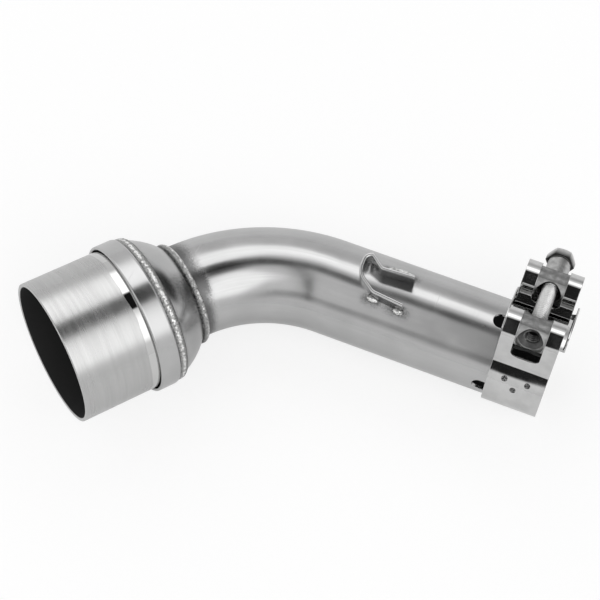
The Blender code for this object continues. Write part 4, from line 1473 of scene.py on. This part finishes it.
def finishBarrel(body, place):
    across = place.inverted()

    def paintedShading(point):
        # Painted shade: darker all over, darker still down in the spot faces, with a rim round each
        # left light as a painted highlight
        here = across @ point
        reach = math.hypot(here.x, here.z)
        if reach < barrel["sinkRadius"] + barrel["play"]:
            return barrel["spotPaintedShade"]
        return 0.0 if reach < barrel["spotRadius"] + barrel["highlightRimWidth"] else barrel["paintedShading"]

    return marked(weighted(rounded(resharpened(body, 28), barrel["burr"], 2, 40)), "paintedShade", paintedShading)


tappedBarrel, tappedPlace = makeBarrel("tappedTrunnion", -1, barrel["tapped"])
plainBarrel, plainPlace = makeBarrel("plainTrunnion", 1, barrel["plain"])
tappedBarrel = finishBarrel(tappedBarrel, tappedPlace)
plainBarrel = finishBarrel(plainBarrel, plainPlace)
print("barrels made")

bolt = {
    "radius": 3.0, "length": 39.0, "point": 0.7, "acrossFlats": 10.0, "headHeight": 4.0,
    "washerRadius": 4.4, "washerHeight": 0.4, "crownRadius": 4.75, "crownAngle": 30.0,
    "pitch": 1.0, "depth": 0.58, "bushRadius": 4.5, "bushLength": 9.2, "bushBore": 3.3,
    # Painted shade on the tip, down in the bore, and under the head
    "bushEdge": 0.4, "headBurr": 0.12, "washerLap": 0.4, "tipPaintedShade": 0.95, "headPaintedShade": 0.9,
}
tapped = {
    "radius": 3.1, "depth": 0.5, "shellRadius": 3.3, "inset": 0.02,
    # Painted shade on the thread's crests and in its roots
    "crestRadius": 2.75, "crestPaintedShade": 0.25, "rootPaintedShade": 0.95,
}
bushStart = clamp["offset"] + barrel["radius"] - barrel["spotDepth"] + clamp["seat"]
boltStart = bushStart + bolt["bushLength"] + clamp["seat"]
boltAxes = shifted(clampAxes, (0, boltStart, clamp["boltHeight"]), 90, "Z")
bushAxes = shifted(clampAxes, (0, bushStart, clamp["boltHeight"]), 90, "Z")


def makeHead():
    b = bolt
    corner = b["acrossFlats"] / math.sqrt(3)
    rings = []
    for x in (b["washerHeight"], b["headHeight"]):
        turns = [math.tau * i / 6 for i in range(6)]
        rings.append([Vector((x, corner * math.cos(a), corner * math.sin(a))) for a in turns])
    head = loft("boltHead", rings, boltAxes, zinc)
    # A cone takes the hexagon's corners off, and its wide end reaches well past them
    drop = corner * math.tan(math.radians(b["crownAngle"]))
    top = b["headHeight"] + drop / 2
    crown = [(-1, 0), (-1, 12), (b["headHeight"] - drop, b["crownRadius"] + corner),
             (top, b["crownRadius"] - corner / 2), (top, 0)]
    cutAway(head, lathe("crown", crown, 96, boltAxes, zinc, closed=False), "INTERSECT")
    burr, radius, lap = b["headBurr"], b["washerRadius"], b["washerHeight"] + b["washerLap"]
    head = weighted(rounded(resharpened(head, 25), burr, 2, 25))
    washer = [(0.0, 0), (0.0, radius - burr), (burr, radius), (lap, radius), (lap, 0)]
    return joined("boltHead", [head, lathe("washerFace", washer, 64, boltAxes, zinc, closed=False)])


def makeShank():
    b = bolt
    values = {"Length": b["length"] * mm, "Radius": b["radius"] * mm, "Depth": b["depth"] * mm,
              "Pitch": b["pitch"] * mm, "Point": b["point"] * mm, "Plain": 0.4 * mm,
              "Rings": 401, "Sides": 49}
    shank = grown("boltShank", linked("shank", bpy.data.meshes.new("shank")), threadRod, values,
                  zinc)
    shank.data.transform(metreAxes(boltAxes @ Matrix.Rotation(math.pi, 4, "Z")))
    tip, ahead = boltAxes @ Vector((-b["length"], 0, 0)), boltAxes.to_3x3().col[0].normalized()

    def paintedShading(point):
        # Painted shade on the tip, down in the bore
        away = point - tip
        return b["tipPaintedShade"] if away.length < b["radius"] * mm and away.dot(ahead) < 0.0003 else 0.0

    return marked(marked(shank, "fresh", 1.0), "paintedShade", paintedShading)


def makeTappedThread():
    # The bore's own thread, a sleeve whose inner side is a threaded rod turned inside out
    t, pitch = tapped, bolt["pitch"]
    span = 2 * (barrel["radius"] - barrel["spotDepth"] - barrel["sinkDepth"])
    rod = span + 2 * pitch
    values = {"Length": rod * mm, "Radius": t["radius"] * mm, "Depth": t["depth"] * mm,
              "Pitch": pitch * mm, "Point": 0.0, "Plain": 0.0, "Rings": round(rod * 10) + 1,
              "Sides": 49}
    thread = grown("tappedThread", linked("thread", bpy.data.meshes.new("thread")), threadRod,
                   values, zinc)
    across = tappedPlace @ Matrix.Rotation(math.pi / 2, 4, "Z")
    thread.data.transform(Matrix.Translation((-rod / 2 * mm, 0, 0)))
    thread.data.transform(metreAxes(across))
    end = span / 2 - t["inset"]
    shell = [(-end, 0), (-end, t["shellRadius"]), (end, t["shellRadius"]), (end, 0)]
    tube = cutAway(lathe("tappedTube", shell, 64, across, zinc, closed=False), thread)
    back = tappedPlace.inverted()

    def paintedShading(point):
        # Painted shade in the bore: light on the crests, near black in the roots
        here = back @ point
        return t["crestPaintedShade"] if math.hypot(here.x, here.z) < t["crestRadius"] else t["rootPaintedShade"]

    return marked(tube, "paintedShade", paintedShading)


def makeBush():
    b, edge = bolt, bolt["bushEdge"]
    profile = [(0, b["bushBore"]), (b["bushLength"], b["bushBore"])]
    profile += roundCorner((b["bushLength"] - edge, b["bushRadius"] - edge), edge, 0, 90, 4)
    profile += roundCorner((edge, b["bushRadius"] - edge), edge, 90, 180, 4)
    return weighted(lathe("spacerBush", profile, 64, bushAxes, zinc))


def underHead(point):
    # Painted shade under the head
    low = (boltAxes.inverted() @ point).x < bolt["washerHeight"] + 0.3
    return bolt["headPaintedShade"] if low else 0.0


boltHead = marked(marked(makeHead(), "fresh", 1.0), "paintedShade", underHead)
boltShank = makeShank()
clampBolt = joined("clampBolt", [boltHead, boltShank])
tappedThread = makeTappedThread()
tappedBarrel = joined("tappedTrunnion", [tappedBarrel, tappedThread])
spacerBush = makeBush()
print("bolt made", len(clampBolt.data.polygons), len(tappedBarrel.data.polygons))


# What each piece stands for

stands = {
    "polished_stainless": {"bent_pipe": bentPipe, "reducer_dome": reducerDome,
                           "collar_ring": collarRing, "side_bracket": sideBracket},
    "brushed_stainless": {"outlet_sleeve": outletSleeve},
    "weld_metal": {"pipe_weld": pipeWeld, "collar_weld": collarWeld, "bracket_weld_1": legWelds[0],
                   "bracket_weld_2": legWelds[1], "bracket_weld_3": legWelds[2]},
    "band_stainless": {"clamp_band": clampBand, "bridge_plate": bridgePlate},
    "zinc_plate": {"tapped_trunnion": tappedBarrel, "plain_trunnion": plainBarrel,
                   "spacer_bush": spacerBush, "clamp_bolt": clampBolt},
}
for piece in (spotWelds, spatter):
    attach(piece, "pipe")
for slotName, pieces in stands.items():
    for nodeName, piece in pieces.items():
        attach(piece, "bolt" if nodeName == "clamp_bolt" else "pipe")
        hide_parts(nodeName)
print("pieces placed")


# Camera, floor and light

view = {
    "place": (90.4, -342.5, 498.6),          # in the pipe's frame
    "forward": (-0.1631, 0.5463, -0.8215),
    "up": (-0.3353, 0.7524, 0.567),
    "fieldOfView": 22.0,
}


def makeCamera():
    data = bpy.data.cameras.new("camera")
    data.angle = math.radians(view["fieldOfView"])
    data.sensor_fit = "HORIZONTAL"
    data.clip_start = 0.01
    camera = linked("camera", data)
    spin = pipeAxes.to_3x3()
    back = -(spin @ Vector(view["forward"])).normalized()
    up = spin @ Vector(view["up"])
    up = (up - back * up.dot(back)).normalized()
    axes = Matrix((up.cross(back), up, back)).transposed().to_4x4()
    axes.translation = pipeAxes @ Vector(view["place"])
    camera.matrix_world = axes
    bpy.context.scene.camera = camera


studio = {
    "floorSize": 3.0, "floorColour": 0.9, "floorShare": 0.7, "floorGloss": 0.1, "floorWhite": 1.08,
    "ceiling": 0.88, "horizon": 0.78, "horizonSpan": 0.6, "square": 3.0,
    # Soft boxes and dark cards: centre and half sizes in degrees from straight up, on +X and +Y,
    # then the turn, the softness and the level
    "cards": {
        "northSide": ((-10, 118), (150, 62), 0, 0.12, 0.72),
        "northCard": ((12, 71), (20, 10), 0, 0.5, 0.5),
        "eastCard": ((37, 65), (32, 15), -12, 0.3, 0.03),
        "eastStreak": ((62, 90), (25, 16), -20, 0.4, 0.08),
        "southCard": ((6, -58), (32, 7), 4, 0.8, 0.42),
        "upperBox": ((-16, 43), (30, 10), -14, 0.25, 1.75),
        "frontBox": ((38, -15), (26, 20), -25, 0.25, 1.7),
        "darkTail": ((-4, 14), (20, 8), 8, 0.5, 0.15),
        "darkCard": ((13, 22), (14, 9.5), -42, 0.15, 0.01),
        "cameraArm": ((-2.2, -24.5), (2.4, 45.5), 0, 0.08, 0.02),
    },
}


def makeFloor():
    size, tone = studio["floorSize"], studio["floorColour"]
    mesh = bpy.data.meshes.new("floor")
    mesh.from_pydata([(-size, -size, 0), (size, -size, 0), (size, size, 0), (-size, size, 0)], [],
                     [(0, 1, 2, 3)])
    material, tree, shader = newFinish("paleFloor", (tone,) * 3, 0.9, 0.0)
    shader.inputs["Specular IOR Level"].default_value = 0.0
    # Partly plain white for the camera and for the metal's reflections, over the lit floor's shadow
    rays = wires(node(tree, "ShaderNodeLightPath"))
    white = (rays["Is Camera Ray"] * studio["floorShare"]
             + rays["Is Glossy Ray"] * studio["floorGloss"])
    both = node(tree, "ShaderNodeMixShader", {
        "Fac": white, 1: Wire(shader.outputs[0]),
        2: wire(tree, "ShaderNodeEmission", {"Strength": studio["floorWhite"]})})
    plug(tree.nodes["Material Output"].inputs["Surface"], Wire(both.outputs[0]))
    mesh.materials.append(material)
    linked("floor", mesh)


def cardGroup():
    # How much of one card is seen in a direction, given as degrees from straight up
    labels = ("X", "Y", "Centre X", "Centre Y", "Half X", "Half Y", "Turn", "Softness")
    tree, size, made = newTree("studioCard", "ShaderNodeTree", [
        (label, "Float", 1.0) for label in labels], [("Mask", "Float")])
    x, y = size["X"] - size["Centre X"], size["Y"] - size["Centre Y"]
    turn = sums("RADIANS", size["Turn"])
    c, s = sums("COSINE", turn), sums("SINE", turn)
    # Between an oval and a box
    square = studio["square"]
    across = abs((x * c + y * s) / size["Half X"]) ** square
    up = abs((y * c - x * s) / size["Half Y"]) ** square
    reach = (across + up) ** (1 / square)
    plug(made["Mask"], stepped(reach, 1.0 + size["Softness"], 1.0 - size["Softness"]))
    return tree


def makeLight():
    world = bpy.data.worlds.new("studio")
    bpy.context.scene.world = world
    world.use_nodes = True
    tree = world.node_tree
    toward = wires(node(tree, "ShaderNodeSeparateXYZ", {
        "Vector": wire(tree, "ShaderNodeTexCoord", output="Generated")}))
    tilt = sums("ARCCOSINE", sums("MINIMUM", sums("MAXIMUM", toward["Z"], -1.0), 1.0))
    flat = sums("SQRT", 1.0 - toward["Z"] * toward["Z"])
    spread = sums("DEGREES", tilt) / sums("MAXIMUM", flat, 0.0001)
    x, y = toward["X"] * spread, toward["Y"] * spread
    level = ranged(toward["Z"], 0.0, studio["horizonSpan"], studio["horizon"], studio["ceiling"])
    group = cardGroup()
    for name, (centre, half, turn, soft, shade) in studio["cards"].items():
        mask = useGroup(group, {
            "X": x, "Y": y, "Centre X": centre[0], "Centre Y": centre[1], "Half X": half[0],
            "Half Y": half[1], "Turn": turn, "Softness": soft}, label=name)["Mask"]
        level = mixed(mask, level, shade)
    # The camera sees plain white
    level = mixed(wires(node(tree, "ShaderNodeLightPath"))["Is Camera Ray"], level, 1.0)
    back = tree.nodes["Background"]
    back.inputs["Color"].default_value = (1, 1, 1, 1)
    plug(back.inputs["Strength"], level)


makeCamera()
makeFloor()
makeLight()
bpy.context.scene.view_settings.view_transform = "Standard"
